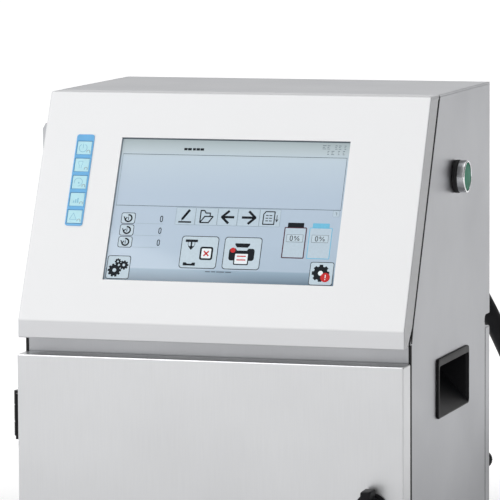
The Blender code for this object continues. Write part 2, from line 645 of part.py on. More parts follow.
def make_feet(root, rubber):
    for y, where in ((0.060, "front"), (0.282, "rear")):
        for x, side in ((-0.155, "left"), (0.155, "right")):
            high = FOOT_HEIGHT - GAP
            outline = [(0, 0), (0.0125, 0), (0.0140, 0.0015), (0.0160, high), (0, high)]
            foot = turned(outline, (x, y, 0), (0, 0, 1), 16)
            piece(f"foot_{where}_{side}", foot, rubber, root, smooth=True)


def hose_route(x, z, low, beside_y):
    """The hose leaves rearwards, turns down and right behind the cabinet, and sweeps on to the
    floor beside the coil, heading right.  Every bend is over four diameters in radius."""
    start = Vector((x, GLAND_END_Y + HOSE_STRAIGHT, z))
    slope = Vector((math.sin(HOSE_LEAN), 0, -math.cos(HOSE_LEAN)))
    spots = [Vector((x, GLAND_END_Y + GAP, z)), start]
    steps = 6
    for index in range(1, steps + 1):
        angle = math.pi / 2 * index / steps
        rearward = Vector((0, HOSE_TURN * math.sin(angle), 0))
        spots.append(start + rearward + slope * HOSE_TURN * (1 - math.cos(angle)))
    high = spots[-1]
    steep = math.pi / 2 - HOSE_LEAN
    foot_z = low + HOSE_SWEEP * (1 - math.cos(steep))
    foot_x = high.x + (high.z - foot_z) * math.tan(HOSE_LEAN)
    run = (high.z - foot_z) / math.cos(HOSE_LEAN)
    sweep = HOSE_SWEEP * steep

    def drifted(along):
        share = along / (run + sweep)
        return high.y + (beside_y - high.y) * (3 * share ** 2 - 2 * share ** 3)

    runs = 9
    for index in range(1, runs + 1):
        share = index / runs
        spots.append(Vector((high.x + (foot_x - high.x) * share, drifted(run * share),
                             high.z + (foot_z - high.z) * share)))
    end_x = foot_x + HOSE_SWEEP * math.sin(steep)
    for index in range(1, steps + 1):
        angle = steep * (1 - index / steps)
        spots.append(Vector((end_x - HOSE_SWEEP * math.sin(angle), drifted(run + sweep * index / steps),
                             low + HOSE_SWEEP * (1 - math.cos(angle)))))
    spots.append(Vector((end_x + 0.012, beside_y, low)))
    return spots


def make_umbilical(root, rubber, steel, black):
    x, z = GLAND
    start = DEPTH + GAP
    gland = [(0, 0.312), (0.0175, 0.312), (0.0175, 0.319), (0.0120, 0.319), (0.0120, start),
             (0.0190, start), (0.0190, start + 0.008), (0.0165, start + 0.010), (0.0160, start + 0.018),
             (0.0142, start + 0.020), (0.0118, GLAND_END_Y), (0, GLAND_END_Y)]
    piece("umbilical_gland", turned(gland, (x, 0, z), (0, 1, 0), 20), black, root, smooth=True)

    low = HOSE_RADIUS + GAP
    side = COIL_OUTER + HOSE_RADIUS + GAP
    hose = curve_points(hose_route(x, z, low, COIL_CENTRE[1] + side), 2)
    tube("umbilical_hose", hose, HOSE_RADIUS, rubber, root)
    ring = [(COIL_INNER, 0.002), (COIL_INNER + 0.002, 0), (COIL_OUTER - 0.002, 0), (COIL_OUTER, 0.002),
            (COIL_OUTER, 0.020), (COIL_OUTER - 0.010, COIL_TALL), (COIL_INNER + 0.010, COIL_TALL),
            (COIL_INNER, 0.020)]
    piece("umbilical_coil", turned(ring, (*COIL_CENTRE, 0), (0, 0, 1), 36), rubber, root, smooth=True)
    tail_x = COIL_CENTRE[0] + side
    # The tail leaves the coil on its right and runs forwards to the printhead.
    tail = [
        (tail_x, COIL_CENTRE[1] - 0.020, low),
        (tail_x - 0.002, COIL_CENTRE[1] - 0.042, low + 0.002),
        (HEAD_X + 0.001, HEAD_REAR_Y + 0.034, HEAD_Z - 0.001),
        (HEAD_X, HEAD_REAR_Y + 0.016, HEAD_Z),
        (HEAD_X, HEAD_REAR_Y + GAP, HEAD_Z),
    ]
    tube("umbilical_tail", curve_points(tail, 3), HOSE_RADIUS, rubber, root)

    # Printhead lying forwards beside the coil: a boot, a body and a pull-off cover over the jet.
    centre = (HEAD_X, HEAD_REAR_Y, HEAD_Z)
    ahead = (0, -1, 0)
    body = [(0, 0), (0.0112, 0), (0.0150, 0.034), (0.0160, 0.036), (0.0190, 0.040), (0.0190, 0.140),
            (0.0178, 0.1415), (0, 0.1415)]
    piece("printhead_body", turned(body, centre, ahead, 24), steel, root, smooth=True)
    sleeve = [(0.0195, 0.132), (0.0207, 0.132), (0.0207, 0.208), (0.0190, 0.2105), (0.0030, 0.2105),
              (0.0030, 0.2090), (0.0185, 0.2090), (0.0195, 0.2080)]
    piece("printhead_cover", turned(sleeve, centre, ahead, 24), steel, root, centre, smooth=True)
    deck_start = HEAD_REAR_Y - 0.1418
    deck = piece("nozzle_block", box((HEAD_X - 0.013, deck_start - 0.058, HEAD_Z - 0.006),
                                     (HEAD_X + 0.013, deck_start, HEAD_Z - 0.003)), steel, root)
    parts = (("nozzle", -0.008, 0.008, 0.022), ("charge_tunnel", -0.004, 0.025, 0.031),
             ("deflector", -0.009, 0.034, 0.050), ("gutter", 0.003, 0.052, 0.056))
    for name, edge, near, far in parts:
        form = box((HEAD_X + edge, deck_start - far, HEAD_Z - 0.0035),
                   (HEAD_X + edge + 0.006, deck_start - near, HEAD_Z + 0.006))
        join(deck, name, form, root)


def build():
    clear_scene()
    steel = material("brushed stainless", (0.60, 0.61, 0.62), 0.32, 1.0)
    dark_steel = material("zinc plate", (0.42, 0.43, 0.45), 0.45, 1.0)
    metal = material("cast aluminium", (0.55, 0.56, 0.58), 0.4, 1.0)
    coated = material("white powder coat", (0.82, 0.83, 0.85), 0.35)
    black = material("black plastic", (0.02, 0.02, 0.022), 0.4)
    rubber = material("black rubber", (0.018, 0.018, 0.02), 0.55)
    chrome = material("chrome", (0.75, 0.76, 0.78), 0.12, 1.0)
    glass = material("screen glass", (0.45, 0.55, 0.62), 0.08)
    green = material("green lens", (0.05, 0.24, 0.15), 0.3)
    board_green = material("circuit board", (0.02, 0.16, 0.07), 0.4)
    grey_plastic = material("grey plastic", (0.22, 0.22, 0.23), 0.4)
    plastics = {
        "blue": material("keypad blue", (0.12, 0.45, 0.78), 0.4),
        "cyan": material("keypad cyan", (0.50, 0.80, 0.88), 0.4),
        "black": black,
        "white": material("white plastic", (0.78, 0.79, 0.78), 0.4),
        "clear": material("natural plastic", (0.72, 0.76, 0.74), 0.35),
    }

    root = empty("printer", SHIFT)
    plane = empty("face_plane", (0, FACE_FOOT_Y, FACE_FOOT_Z), root, math.pi / 2 - FACE_LEAN)
    make_cabinet(root, steel, dark_steel)
    make_rear_cover(root, steel, black)
    make_face(root, plane, coated, glass, black, plastics)
    make_door(root, steel, black, rubber)
    make_power_button(root, rubber, chrome, green, black)
    make_handle("right_handle", 1, root, black)
    make_handle("left_handle", -1, root, black)
    make_printhead_holder(root, steel)
    make_rear_electrics(root, black, grey_plastic)
    make_electronics(root, board_green, dark_steel)
    make_hydraulics(root, plastics, metal, steel)
    make_feet(root, rubber)
    make_umbilical(root, rubber, steel, black)


build()
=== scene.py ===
import math
import bmesh
import bpy
from mathutils import Matrix, Vector


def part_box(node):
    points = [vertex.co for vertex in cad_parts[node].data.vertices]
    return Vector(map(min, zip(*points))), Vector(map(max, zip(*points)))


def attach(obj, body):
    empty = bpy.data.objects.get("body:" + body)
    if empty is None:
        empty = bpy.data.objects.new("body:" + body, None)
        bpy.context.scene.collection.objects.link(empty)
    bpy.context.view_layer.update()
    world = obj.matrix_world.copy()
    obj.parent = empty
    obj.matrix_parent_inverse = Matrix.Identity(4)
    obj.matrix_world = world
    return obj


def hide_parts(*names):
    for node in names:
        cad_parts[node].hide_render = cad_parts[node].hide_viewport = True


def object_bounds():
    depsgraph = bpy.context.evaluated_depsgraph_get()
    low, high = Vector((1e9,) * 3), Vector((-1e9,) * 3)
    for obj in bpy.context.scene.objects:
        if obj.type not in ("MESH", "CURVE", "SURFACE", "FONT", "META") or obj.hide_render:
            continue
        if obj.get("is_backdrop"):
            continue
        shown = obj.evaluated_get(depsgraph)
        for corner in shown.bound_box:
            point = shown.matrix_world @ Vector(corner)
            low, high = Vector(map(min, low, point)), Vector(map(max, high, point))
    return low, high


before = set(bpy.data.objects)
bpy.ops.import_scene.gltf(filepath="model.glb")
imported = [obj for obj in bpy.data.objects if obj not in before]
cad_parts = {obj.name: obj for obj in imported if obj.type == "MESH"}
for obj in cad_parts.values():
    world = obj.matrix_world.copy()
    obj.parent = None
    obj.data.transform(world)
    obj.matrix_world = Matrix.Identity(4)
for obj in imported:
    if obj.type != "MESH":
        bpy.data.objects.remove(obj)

cad_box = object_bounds()

# ---------------------------------------------------------------- places from the CAD frame
body_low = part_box("left_side_panel")[0]
body_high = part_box("right_side_panel")[1]
door_low, door_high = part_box("door")
middle_x = (body_low.x + body_high.x) / 2
width = body_high.x - body_low.x
half = width / 2
top_z = body_high.z
front_y = door_low.y
ORIGIN = Vector((middle_x, front_y, 0))
GAP = 0.0003
FOOT_Y, FOOT_Z = 0.0032, 0.335
TOP_Y = 0.1012
LEAN = math.atan2(TOP_Y - FOOT_Y, top_z - FOOT_Z)
FACE = Matrix.Translation(ORIGIN + Vector((0, FOOT_Y, FOOT_Z))) @ Matrix.Rotation(math.pi / 2 - LEAN, 4, "X")
SCREEN_LOW = (-0.1080, 0.0413)
SCREEN_HIGH = (0.1134, 0.1822)
GLASS_TOP = -0.0020


def at(x, y, z):
    """A point given in cabinet coordinates: x from the middle, y from the door's face, z from the floor."""
    return ORIGIN + Vector((x, y, z))


# ---------------------------------------------------------------- camera
YAW = math.radians(17.0)
PITCH = math.radians(6.012)
ROLL = math.radians(-0.292)
LENS_MM, SENSOR_MM = 299.2, 36
DISTANCE = 10.509       # in cabinet widths
target = Vector((middle_x + 0.0194 * width, front_y + 0.300 * width, top_z - 0.3963 * width))
ahead = Vector((-math.sin(YAW) * math.cos(PITCH), math.cos(YAW) * math.cos(PITCH), -math.sin(PITCH)))
right = Vector((math.cos(YAW), math.sin(YAW), 0))
up = right.cross(ahead)
right_rolled = math.cos(ROLL) * right + math.sin(ROLL) * up
up_rolled = -math.sin(ROLL) * right + math.cos(ROLL) * up
camera_data = bpy.data.cameras.new("camera")
camera_data.lens = LENS_MM
camera_data.sensor_width = SENSOR_MM
camera = bpy.data.objects.new("camera", camera_data)
place = target - ahead * DISTANCE * width
camera.matrix_world = Matrix((
    (right_rolled.x, up_rolled.x, -ahead.x, place.x),
    (right_rolled.y, up_rolled.y, -ahead.y, place.y),
    (right_rolled.z, up_rolled.z, -ahead.z, place.z),
    (0, 0, 0, 1),
))
bpy.context.scene.collection.objects.link(camera)
bpy.context.scene.camera = camera


# ---------------------------------------------------------------- materials
class Finish:
    """A node material being built: the shader, and short ways to add texture nodes."""

    def __init__(self, name, colour, rough, metallic=0.0, **fixed):
        self.material = bpy.data.materials.new(name)
        self.material.use_nodes = True
        self.nodes = self.material.node_tree.nodes
        self.links = self.material.node_tree.links
        self.shader = self.nodes["Principled BSDF"]
        self.shader.inputs["Base Color"].default_value = (*colour, 1)
        self.shader.inputs["Roughness"].default_value = rough
        self.shader.inputs["Metallic"].default_value = metallic
        for key, value in fixed.items():
            self.shader.inputs[key.replace("_", " ")].default_value = value
        self.place = self.nodes.new("ShaderNodeTexCoord").outputs["Object"]

    def noise(self, scale, stretch=(1, 1, 1), detail=3.0, rough=0.5):
        mapping = self.nodes.new("ShaderNodeMapping")
        mapping.inputs["Scale"].default_value = stretch
        self.links.new(self.place, mapping.inputs["Vector"])
        made = self.nodes.new("ShaderNodeTexNoise")
        made.inputs["Scale"].default_value = scale
        made.inputs["Detail"].default_value = detail
        made.inputs["Roughness"].default_value = rough
        self.links.new(mapping.outputs["Vector"], made.inputs["Vector"])
        return made.outputs["Fac"]

    def span(self, source, low, high, start=0.3, end=0.7):
        made = self.nodes.new("ShaderNodeMapRange")
        for key, value in (("From Min", start), ("From Max", end), ("To Min", low), ("To Max", high)):
            made.inputs[key].default_value = value
        self.links.new(source, made.inputs["Value"])
        return made.outputs["Result"]

    def ramp(self, source, *stops):
        made = self.nodes.new("ShaderNodeValToRGB")
        band = made.color_ramp
        while len(band.elements) < len(stops):
            band.elements.new(0.5)
        for spot, (where, colour) in zip(band.elements, stops):
            spot.position = where
            spot.color = (*colour, 1)
        self.links.new(source, made.inputs["Fac"])
        return made.outputs["Color"]

    def to(self, source, socket):
        self.links.new(source, self.shader.inputs[socket])
        return self

    def bump(self, source, strength, distance=0.0002):
        made = self.nodes.new("ShaderNodeBump")
        made.inputs["Strength"].default_value = strength
        made.inputs["Distance"].default_value = distance
        self.links.new(source, made.inputs["Height"])
        self.links.new(made.outputs["Normal"], self.shader.inputs["Normal"])
        return self


def tone(colour, share):
    return tuple(min(1.0, part * share) for part in colour)


def polar(radius, turn):
    return radius * math.cos(turn), radius * math.sin(turn)


def brushed(name, colour, rough, grain=(40, 40, 1.2), strength=0.025, edge=1.0):
    """Rolled sheet: fine grain along one direction, faint handling marks in the roughness."""
    made = Finish(name, colour, rough, 1.0, Specular_Tint=(edge, edge, edge, 1))
    lines = made.noise(24, grain, 4)
    marks = made.noise(9, (1, 1, 1), 4, 0.6)
    made.to(made.ramp(lines, (0.30, tone(colour, 0.985)), (0.70, tone(colour, 1.015))), "Base Color")
    made.to(made.span(marks, rough - 0.03, rough + 0.05), "Roughness")
    return made.bump(lines, strength, 0.00004).material


def coated(name, colour, rough, scale=900, strength=0.10, mottling=0.985, **fixed):
    """Powder coat or moulded plastic: orange peel or spark texture, slightly uneven gloss."""
    made = Finish(name, colour, rough, **fixed)
    fine = made.noise(scale, (1, 1, 1), 2)
    broad = made.noise(14, (1, 1, 1), 3)
    made.to(made.ramp(broad, (0.3, tone(colour, mottling)), (0.7, colour)), "Base Color")
    made.to(made.span(broad, rough - 0.03, rough + 0.05), "Roughness")
    return made.bump(fine, strength, 0.00006).material


def rubbery(name, colour, rough):
    made = Finish(name, colour, rough, Specular_IOR_Level=0.2)
    dust = made.noise(30, (1, 1, 1), 5, 0.6)
    fine = made.noise(1400, (1, 1, 1), 2)
    made.to(made.ramp(dust, (0.35, colour), (0.8, tone(colour, 1.8))), "Base Color")
    made.to(made.span(dust, rough - 0.04, rough + 0.10), "Roughness")
    return made.bump(fine, 0.15, 0.00005).material


def plated(name, colour, rough):
    made = Finish(name, colour, rough, 1.0)
    smudge = made.noise(60, (1, 1, 1), 4, 0.6)
    made.to(made.span(smudge, rough, rough + 0.06), "Roughness")
    made.to(made.ramp(smudge, (0.3, tone(colour, 0.97)), (0.7, colour)), "Base Color")
    return made.bump(smudge, 0.02, 0.00002).material


def paint(name, colour, rough=0.35, glow=0.0):
    """Printed ink or a lit patch of the display: a little mottling keeps it from being flat."""
    made = Finish(name, colour, rough, Specular_IOR_Level=0.1)
    grain = made.noise(500, (1, 1, 1), 2)
    shades = made.ramp(grain, (0.35, tone(colour, 0.95)), (0.65, colour))
    made.to(shades, "Base Color")
    if glow:
        made.to(shades, "Emission Color")
        made.shader.inputs["Emission Strength"].default_value = glow
    return made.material


def face_coat():
    """White film on the slanted face; the colour grades to grey as a surface turns away from the face, partly the
    film ending at the folds and partly painted shade on the lip, the edges and the side strips.
    """
    made = Finish("white_powder_coat", (0.84, 0.845, 0.855), 0.38)
    facing = made.nodes.new("ShaderNodeTexCoord").outputs["Normal"]
    facing_shade_mask = made.nodes.new("ShaderNodeVectorMath")
    facing_shade_mask.operation = "DOT_PRODUCT"
    facing_shade_mask.inputs[1].default_value = FACE.to_3x3() @ Vector((0, 0, 1))
    made.links.new(facing, facing_shade_mask.inputs[0])
    # Painted shade: the base colour is a darker grey the further a surface turns from the face's normal.
    made.to(made.ramp(facing_shade_mask.outputs["Value"], (0.60, (0.50, 0.505, 0.52)), (0.92, (0.70, 0.705, 0.72)),
                      (0.985, (0.84, 0.845, 0.855))), "Base Color")
    broad = made.noise(14, (1, 1, 1), 3)
    made.to(made.span(broad, 0.35, 0.43), "Roughness")
    return made.bump(made.noise(1100, (1, 1, 1), 2), 0.06, 0.00006).material


# Lit and shaded copies of one stainless sheet, as painted shade. The sides, top, rear and printhead copy is painted
# darker and has dimmer reflections. The door copy is lighter. The frame in the groove and the inside parts are darker
# still.
STEEL_SHADED_SIDE = brushed("stainless_side_shaded", (0.465, 0.472, 0.492), 0.36, edge=0.80)
STEEL_LIT_DOOR = brushed("stainless_door_lit", (0.60, 0.605, 0.615), 0.34)
STEEL_SHADED_FRAME = brushed("stainless_frame_shaded", (0.40, 0.405, 0.42), 0.34, (60, 60, 1.2), 0.10)
STEEL_SHADED_INSIDE = brushed("stainless_inside_shaded", (0.34, 0.345, 0.355), 0.42)
ZINC = coated("zinc_plate", (0.38, 0.39, 0.41), 0.42, 260, 0.2, 0.88)
ZINC.node_tree.nodes["Principled BSDF"].inputs["Metallic"].default_value = 1.0
WHITE_COAT = face_coat()
BLACK_PLASTIC = coated("black_plastic", (0.013, 0.013, 0.015), 0.38, 1600, 0.12, 0.8, Specular_IOR_Level=0.07)
BLACK_METAL = coated("black_painted_metal", (0.012, 0.012, 0.013), 0.33, 800, 0.10, 0.8, Specular_IOR_Level=0.08)
RUBBER = rubbery("black_rubber", (0.014, 0.014, 0.015), 0.50)
HOSE_RUBBER = rubbery("hose_sheath", (0.016, 0.016, 0.018), 0.36)
CHROME = plated("chrome", (0.80, 0.81, 0.83), 0.07)
SATIN_RING = plated("satin_ring", (0.78, 0.79, 0.80), 0.16)
ALUMINIUM = brushed("cast_aluminium", (0.56, 0.57, 0.59), 0.40, (3, 3, 3), 0.15)
WHITE_PLASTIC = coated("white_plastic", (0.74, 0.75, 0.74), 0.42, 1200, 0.08)
GREY_PLASTIC = coated("grey_plastic", (0.20, 0.20, 0.21), 0.42, 1200, 0.10)
BRASS = plated("brass", (0.75, 0.58, 0.28), 0.24)
GOLD = plated("contact_gold", (0.83, 0.66, 0.33), 0.25)
CHIP = coated("chip_plastic", (0.022, 0.022, 0.024), 0.45, 2200, 0.08, 0.85)


def natural_plastic():
    """Blow-moulded bottle: milky, with the liquid's faint tint low down."""
    made = Finish("natural_plastic", (0.74, 0.77, 0.75), 0.34, Subsurface_Weight=0.25)
    split = made.nodes.new("ShaderNodeSeparateXYZ")
    made.links.new(made.place, split.inputs["Vector"])
    fill = made.span(split.outputs["Z"], 0, 1, 0.115, 0.135)
    made.to(made.ramp(fill, (0.3, (0.60, 0.68, 0.70)), (0.7, (0.76, 0.78, 0.76))), "Base Color")
    return made.bump(made.noise(300, (1, 1, 1), 2), 0.08, 0.0001).material


def lens_green():
    made = Finish("green_lens", (0.022, 0.190, 0.115), 0.42, Specular_IOR_Level=0.06)
    spread = made.noise(90, (1, 1, 1), 3)
    shades = made.ramp(spread, (0.3, (0.016, 0.170, 0.100)), (0.7, (0.026, 0.215, 0.130)))
    made.to(shades, "Base Color").to(shades, "Emission Color")
    made.shader.inputs["Emission Strength"].default_value = 0.12
    return made.bump(made.noise(700, (1, 1, 1), 2), 0.10, 0.00006).material


def circuit():
    """Solder mask with tracks: one wave pattern, broken up by its distortion."""
    made = Finish("circuit_board", (0.02, 0.15, 0.07), 0.38, Coat_Weight=0.3)
    tracks = made.nodes.new("ShaderNodeTexWave")
    tracks.inputs["Scale"].default_value = 55
    tracks.inputs["Distortion"].default_value = 6
    tracks.inputs["Detail"].default_value = 1
    made.links.new(made.place, tracks.inputs["Vector"])
    made.to(made.ramp(tracks.outputs["Fac"], (0.42, (0.015, 0.12, 0.055)), (0.50, (0.05, 0.27, 0.13))), "Base Color")
    return made.bump(tracks.outputs["Fac"], 0.1, 0.00003).material


def key_face(name, colour, glow):
    made = Finish(name, colour, 0.42, Coat_Weight=0.15)
    fine = made.noise(1500, (1, 1, 1), 2)
    broad = made.noise(160, (1, 1, 1), 3)
    shades = made.ramp(broad, (0.3, tone(colour, 0.96)), (0.7, tone(colour, 1.03)))
    made.to(shades, "Base Color").to(shades, "Emission Color")
    made.shader.inputs["Emission Strength"].default_value = glow
    return made.bump(fine, 0.10, 0.00004).material


def screen_face():
    """The lit display under its glass: pale grey-blue above, a deeper band along its foot."""
    made = Finish("screen_glass", (0.50, 0.60, 0.66), 0.14, Coat_Weight=0.6, Coat_Roughness=0.04)
    split = made.nodes.new("ShaderNodeSeparateXYZ")
    made.links.new(made.place, split.inputs["Vector"])
    low = (FACE @ Vector((0, SCREEN_LOW[1], 0))).z
    high = (FACE @ Vector((0, SCREEN_HIGH[1], 0))).z
    level = made.span(split.outputs["Z"], 0, 1, low, high)
    shades = made.ramp(level, (0.00, (0.080, 0.145, 0.210)), (0.078, (0.220, 0.325, 0.420)),
                            (0.088, (0.345, 0.445, 0.550)),
                       (0.30, (0.380, 0.478, 0.585)), (0.60, (0.405, 0.500, 0.608)), (0.86, (0.465, 0.560, 0.640)),
                       (0.91, (0.440, 0.520, 0.560)), (1.0, (0.330, 0.400, 0.420)))
    made.to(shades, "Base Color").to(shades, "Emission Color")
    made.shader.inputs["Emission Strength"].default_value = 0.10
    return made.bump(made.noise(40, (1, 1, 1), 2), 0.01, 0.00002).material


NATURAL = natural_plastic()
GREEN_LENS = lens_green()
BOARD = circuit()
SCREEN = screen_face()
KEY_BLUE = key_face("keypad_blue", (0.115, 0.40, 0.72), 0.04)
KEY_CYAN = key_face("keypad_cyan", (0.44, 0.73, 0.81), 0.05)
CAP_BLUE = coated("cap_blue", (0.10, 0.40, 0.62), 0.38, 1300, 0.10)


# ---------------------------------------------------------------- mesh helpers
def piece(name, form, finishes, body="cabinet", replaces=(), bevel=0.0, angle=35):
    bmesh.ops.recalc_face_normals(form, faces=form.faces)
    mesh = bpy.data.meshes.new(name)
    form.to_mesh(mesh)
    form.free()
    for finish in finishes if isinstance(finishes, (list, tuple)) else [finishes]:
        mesh.materials.append(finish)
    mesh.shade_smooth()
    mesh.set_sharp_from_angle(angle=math.radians(angle))
    made = bpy.data.objects.new(name, mesh)
    bpy.context.scene.collection.objects.link(made)
    if bevel:
        round_off(made, bevel, angle)
    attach(made, body)
    if replaces:
        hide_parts(*replaces)
    return made


def round_off(made, size, angle=35):
    step = made.modifiers.new("rounded edges", "BEVEL")
    step.width = size
    step.segments = 2
    step.limit_method = "ANGLE"
    step.angle_limit = math.radians(angle)
    step.harden_normals = False


def add_box(form, low, high, matrix=Matrix.Identity(4)):
    low, high = Vector(low), Vector(high)
    shape = Matrix.Translation((low + high) / 2) @ Matrix.Diagonal((*(high - low), 1))
    bmesh.ops.create_cube(form, size=1, matrix=matrix @ shape)
    return form


def add_turned(form, outline, centre, axis, steps=64):
    """Spin a closed outline of (radius, distance along the axis) points about an axis through centre."""
    turn = Vector((0, 0, 1)).rotation_difference(Vector(axis)).to_matrix().to_4x4()
    matrix = Matrix.Translation(centre) @ turn
    rings = []
    for radius, along in outline:
        if radius < 1e-7:
            rings.append([form.verts.new(matrix @ Vector((0, 0, along)))])
        else:
            rings.append([form.verts.new(matrix @ Vector((*polar(radius, 2 * math.pi * k / steps), along)))
                          for k in range(steps)])
    for first, second in zip(rings, rings[1:] + rings[:1]):
        if len(first) == 1 and len(second) == 1:
            continue
        for k in range(steps):
            j = (k + 1) % steps
            if len(first) == 1:
                form.faces.new((first[0], second[j], second[k]))
            elif len(second) == 1:
                form.faces.new((first[k], first[j], second[0]))
            else:
                form.faces.new((first[k], first[j], second[j], second[k]))
    return form


def turned(outline, centre, axis, steps=64):
    return add_turned(bmesh.new(), outline, centre, axis, steps)


def soften(outline, radius, steps=3):
    """Round the corners of a closed outline, so that a turned piece has real fillets."""
    result = []
    count = len(outline)
    for index in range(count):
        before, here, after = (Vector(outline[(index + k) % count]) for k in (-1, 0, 1))
        on_axis = here.x < 1e-7
        size = min(radius, (before - here).length * 0.45, (after - here).length * 0.45)
        if on_axis or size < 1e-6:
            result.append(tuple(here))
            continue
        start = here + (before - here).normalized() * size
        end = here + (after - here).normalized() * size
        for k in range(steps + 1):
            t = k / steps
            result.append(tuple(start * (1 - t) ** 2 + here * 2 * t * (1 - t) + end * t ** 2))
    return result


def rounded_rect(low, high, radius, steps=5):
    """Corner-rounded rectangle as (a, b) points, anticlockwise."""
    points = []
    corners = ((high[0] - radius, high[1] - radius, 0), (low[0] + radius, high[1] - radius, 90),
               (low[0] + radius, low[1] + radius, 180), (high[0] - radius, low[1] + radius, 270))
    for a, b, start in corners:
        for k in range(steps + 1):
            across, along = polar(radius, math.radians(start + 90 * k / steps))
            points.append((a + across, b + along))
    return points


def add_loft(form, loops, index=0):
    """Join loops of the same number of 3-D points into a skin, with its ends closed."""
    rings = [[form.verts.new(point) for point in loop] for loop in loops]
    count = len(rings[0])
    faces = []
    for first, second in zip(rings, rings[1:]):
        for k in range(count):
            j = (k + 1) % count
            faces.append(form.faces.new((first[k], first[j], second[j], second[k])))
    faces.append(form.faces.new(list(reversed(rings[0]))))
    faces.append(form.faces.new(rings[-1]))
    for face in faces:
        face.material_index = index
    return form


def add_screw(form, centre, axis, radius=0.0030, tall=0.0016):
    """Pan head screw with a cross recess: a domed head with four sunk wedges."""
    outline = soften([(0, 0), (radius, 0), (radius * 0.92, tall * 0.65), (radius * 0.55, tall), (0, tall)],
                     radius * 0.12)
    add_turned(form, outline, centre, axis, 24)
    turn = Vector((0, 0, 1)).rotation_difference(Vector(axis)).to_matrix().to_4x4()
    for angle in (30, 120):
        slot = Matrix.Translation(centre) @ turn @ Matrix.Rotation(math.radians(angle), 4, "Z")
        bmesh.ops.create_cube(form, size=1, matrix=slot @ Matrix.Translation((0, 0, tall * 0.93))
                              @ Matrix.Diagonal((radius * 1.0, radius * 0.22, tall * 0.22, 1)))
    return form


def tube(name, points, radius, finish, body="cabinet", depth=8):
    """A Bezier tube through points, with handles along the chords so that it bends smoothly."""
    curve = bpy.data.curves.new(name, "CURVE")
    curve.dimensions = "3D"
    curve.bevel_depth = radius
    curve.bevel_resolution = depth
    curve.resolution_u = 4
    curve.use_fill_caps = True
    curve.materials.append(finish)
    spline = curve.splines.new("BEZIER")
    spline.bezier_points.add(len(points) - 1)
    for index, spot in enumerate(spline.bezier_points):
        here = Vector(points[index])
        before = Vector(points[max(0, index - 1)])
        after = Vector(points[min(len(points) - 1, index + 1)])
        along = (after - before).normalized()
        spot.handle_left_type = spot.handle_right_type = "FREE"
        spot.co = here
        spot.handle_left = here - along * (here - before).length / 3
        spot.handle_right = here + along * (after - here).length / 3
    made = bpy.data.objects.new(name, curve)
    bpy.context.scene.collection.objects.link(made)
    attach(made, body)
    return made


def finish_node(names, finish, bevel=0.0):
    """A CAD node whose shape is right keeps it, and takes a better material."""
    for name in names:
        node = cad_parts[name]
        for spot in node.material_slots:
            spot.material = finish
        if not node.material_slots:
            node.data.materials.append(finish)
        if bevel:
            round_off(node, bevel)


# ---------------------------------------------------------------- umbilical hose: one cord
# The route is the CAD hose's, but its last sweep is tighter: the CAD's has a radius of 0.110.
HOSE_RADIUS = 0.0095
HOSE_LOW = HOSE_RADIUS + GAP
GLAND = (0.1060, 0.3755)
GLAND_END_Y = 0.374
HOSE_STRAIGHT = 0.018
HOSE_TURN = 0.090
HOSE_SWEEP = 0.084
HOSE_LEAN = math.radians(27)
COIL_X, COIL_Y = 0.345, 0.290
COIL_OUTER_TURN = 0.1145
TURN_PITCH = 0.0196
TURN_POINTS = 24
HEAD = (0.467, 0.190, 0.021)


def ease(share):
    share = min(1.0, max(0.0, share))
    return share * share * (3 - 2 * share)


def falling_part(beside_y):
    """Out of the gland, a quarter turn down and right, a long slope, and a sweep on to the floor."""
    start = Vector((GLAND[0], GLAND_END_Y + HOSE_STRAIGHT, GLAND[1]))
    slope = Vector((math.sin(HOSE_LEAN), 0, -math.cos(HOSE_LEAN)))
    spots = [Vector((GLAND[0], GLAND_END_Y + GAP, GLAND[1])), start]
    for index in range(1, 7):
        angle = math.pi / 2 * index / 6
        spots.append(start + Vector((0, HOSE_TURN * math.sin(angle), 0)) + slope * HOSE_TURN * (1 - math.cos(angle)))
    high = spots[-1]
    steep = math.pi / 2 - HOSE_LEAN
    foot_z = HOSE_LOW + HOSE_SWEEP * (1 - math.cos(steep))
    foot_x = high.x + (high.z - foot_z) * math.tan(HOSE_LEAN)
    run = (high.z - foot_z) / math.cos(HOSE_LEAN)
    sweep = HOSE_SWEEP * steep

    def drifted(along):
        return high.y + (beside_y - high.y) * ease(along / (run + sweep))

    for index in range(1, 10):
        share = index / 9
        spots.append(Vector((high.x + (foot_x - high.x) * share, drifted(run * share),
                             high.z + (foot_z - high.z) * share)))
    end_x = foot_x + HOSE_SWEEP * math.sin(steep)
    for index in range(1, 7):
        angle = steep * (1 - index / 6)
        spots.append(Vector((end_x - HOSE_SWEEP * math.sin(angle), drifted(run + sweep * index / 6),
                             HOSE_LOW + HOSE_SWEEP * (1 - math.cos(angle)))))
    return [spot for spot in spots if spot.x < COIL_X - 0.006]


def coil_part():
    """Three turns, the third on top of the first two, leaving on the right over the others."""
    last_angle = 38

    def first_turn(travel):
        return COIL_OUTER_TURN + TURN_PITCH * (1 - ease(travel / 90))

    def state(travel):
        if travel <= 360:
            return first_turn(travel), HOSE_LOW
        if travel <= 720:
            return first_turn(travel - 360) - TURN_PITCH, HOSE_LOW
        if travel <= 1080:
            roll = math.radians(180 - 120 * ease((travel - 720) / 90))
            centre = first_turn(travel - 720) - TURN_PITCH
        else:
            rolled = (60 + 120 - last_angle) * ease((travel - 1080) / 90)
            over_first = rolled > 60
            centre = first_turn(travel - 1080) - (0 if over_first else TURN_PITCH)
            roll = math.radians(120 - (rolled - 60 if over_first else rolled))
        return centre + TURN_PITCH * math.cos(roll), HOSE_LOW + TURN_PITCH * math.sin(roll)

    spots = []
    step = 360 / TURN_POINTS
    for index in range(int(1170 / step) + 1):
        radius, height = state(index * step)
        angle = math.radians(90 - index * step)
        spots.append(Vector((COIL_X + radius * math.cos(angle), COIL_Y + radius * math.sin(angle), height)))
    return spots


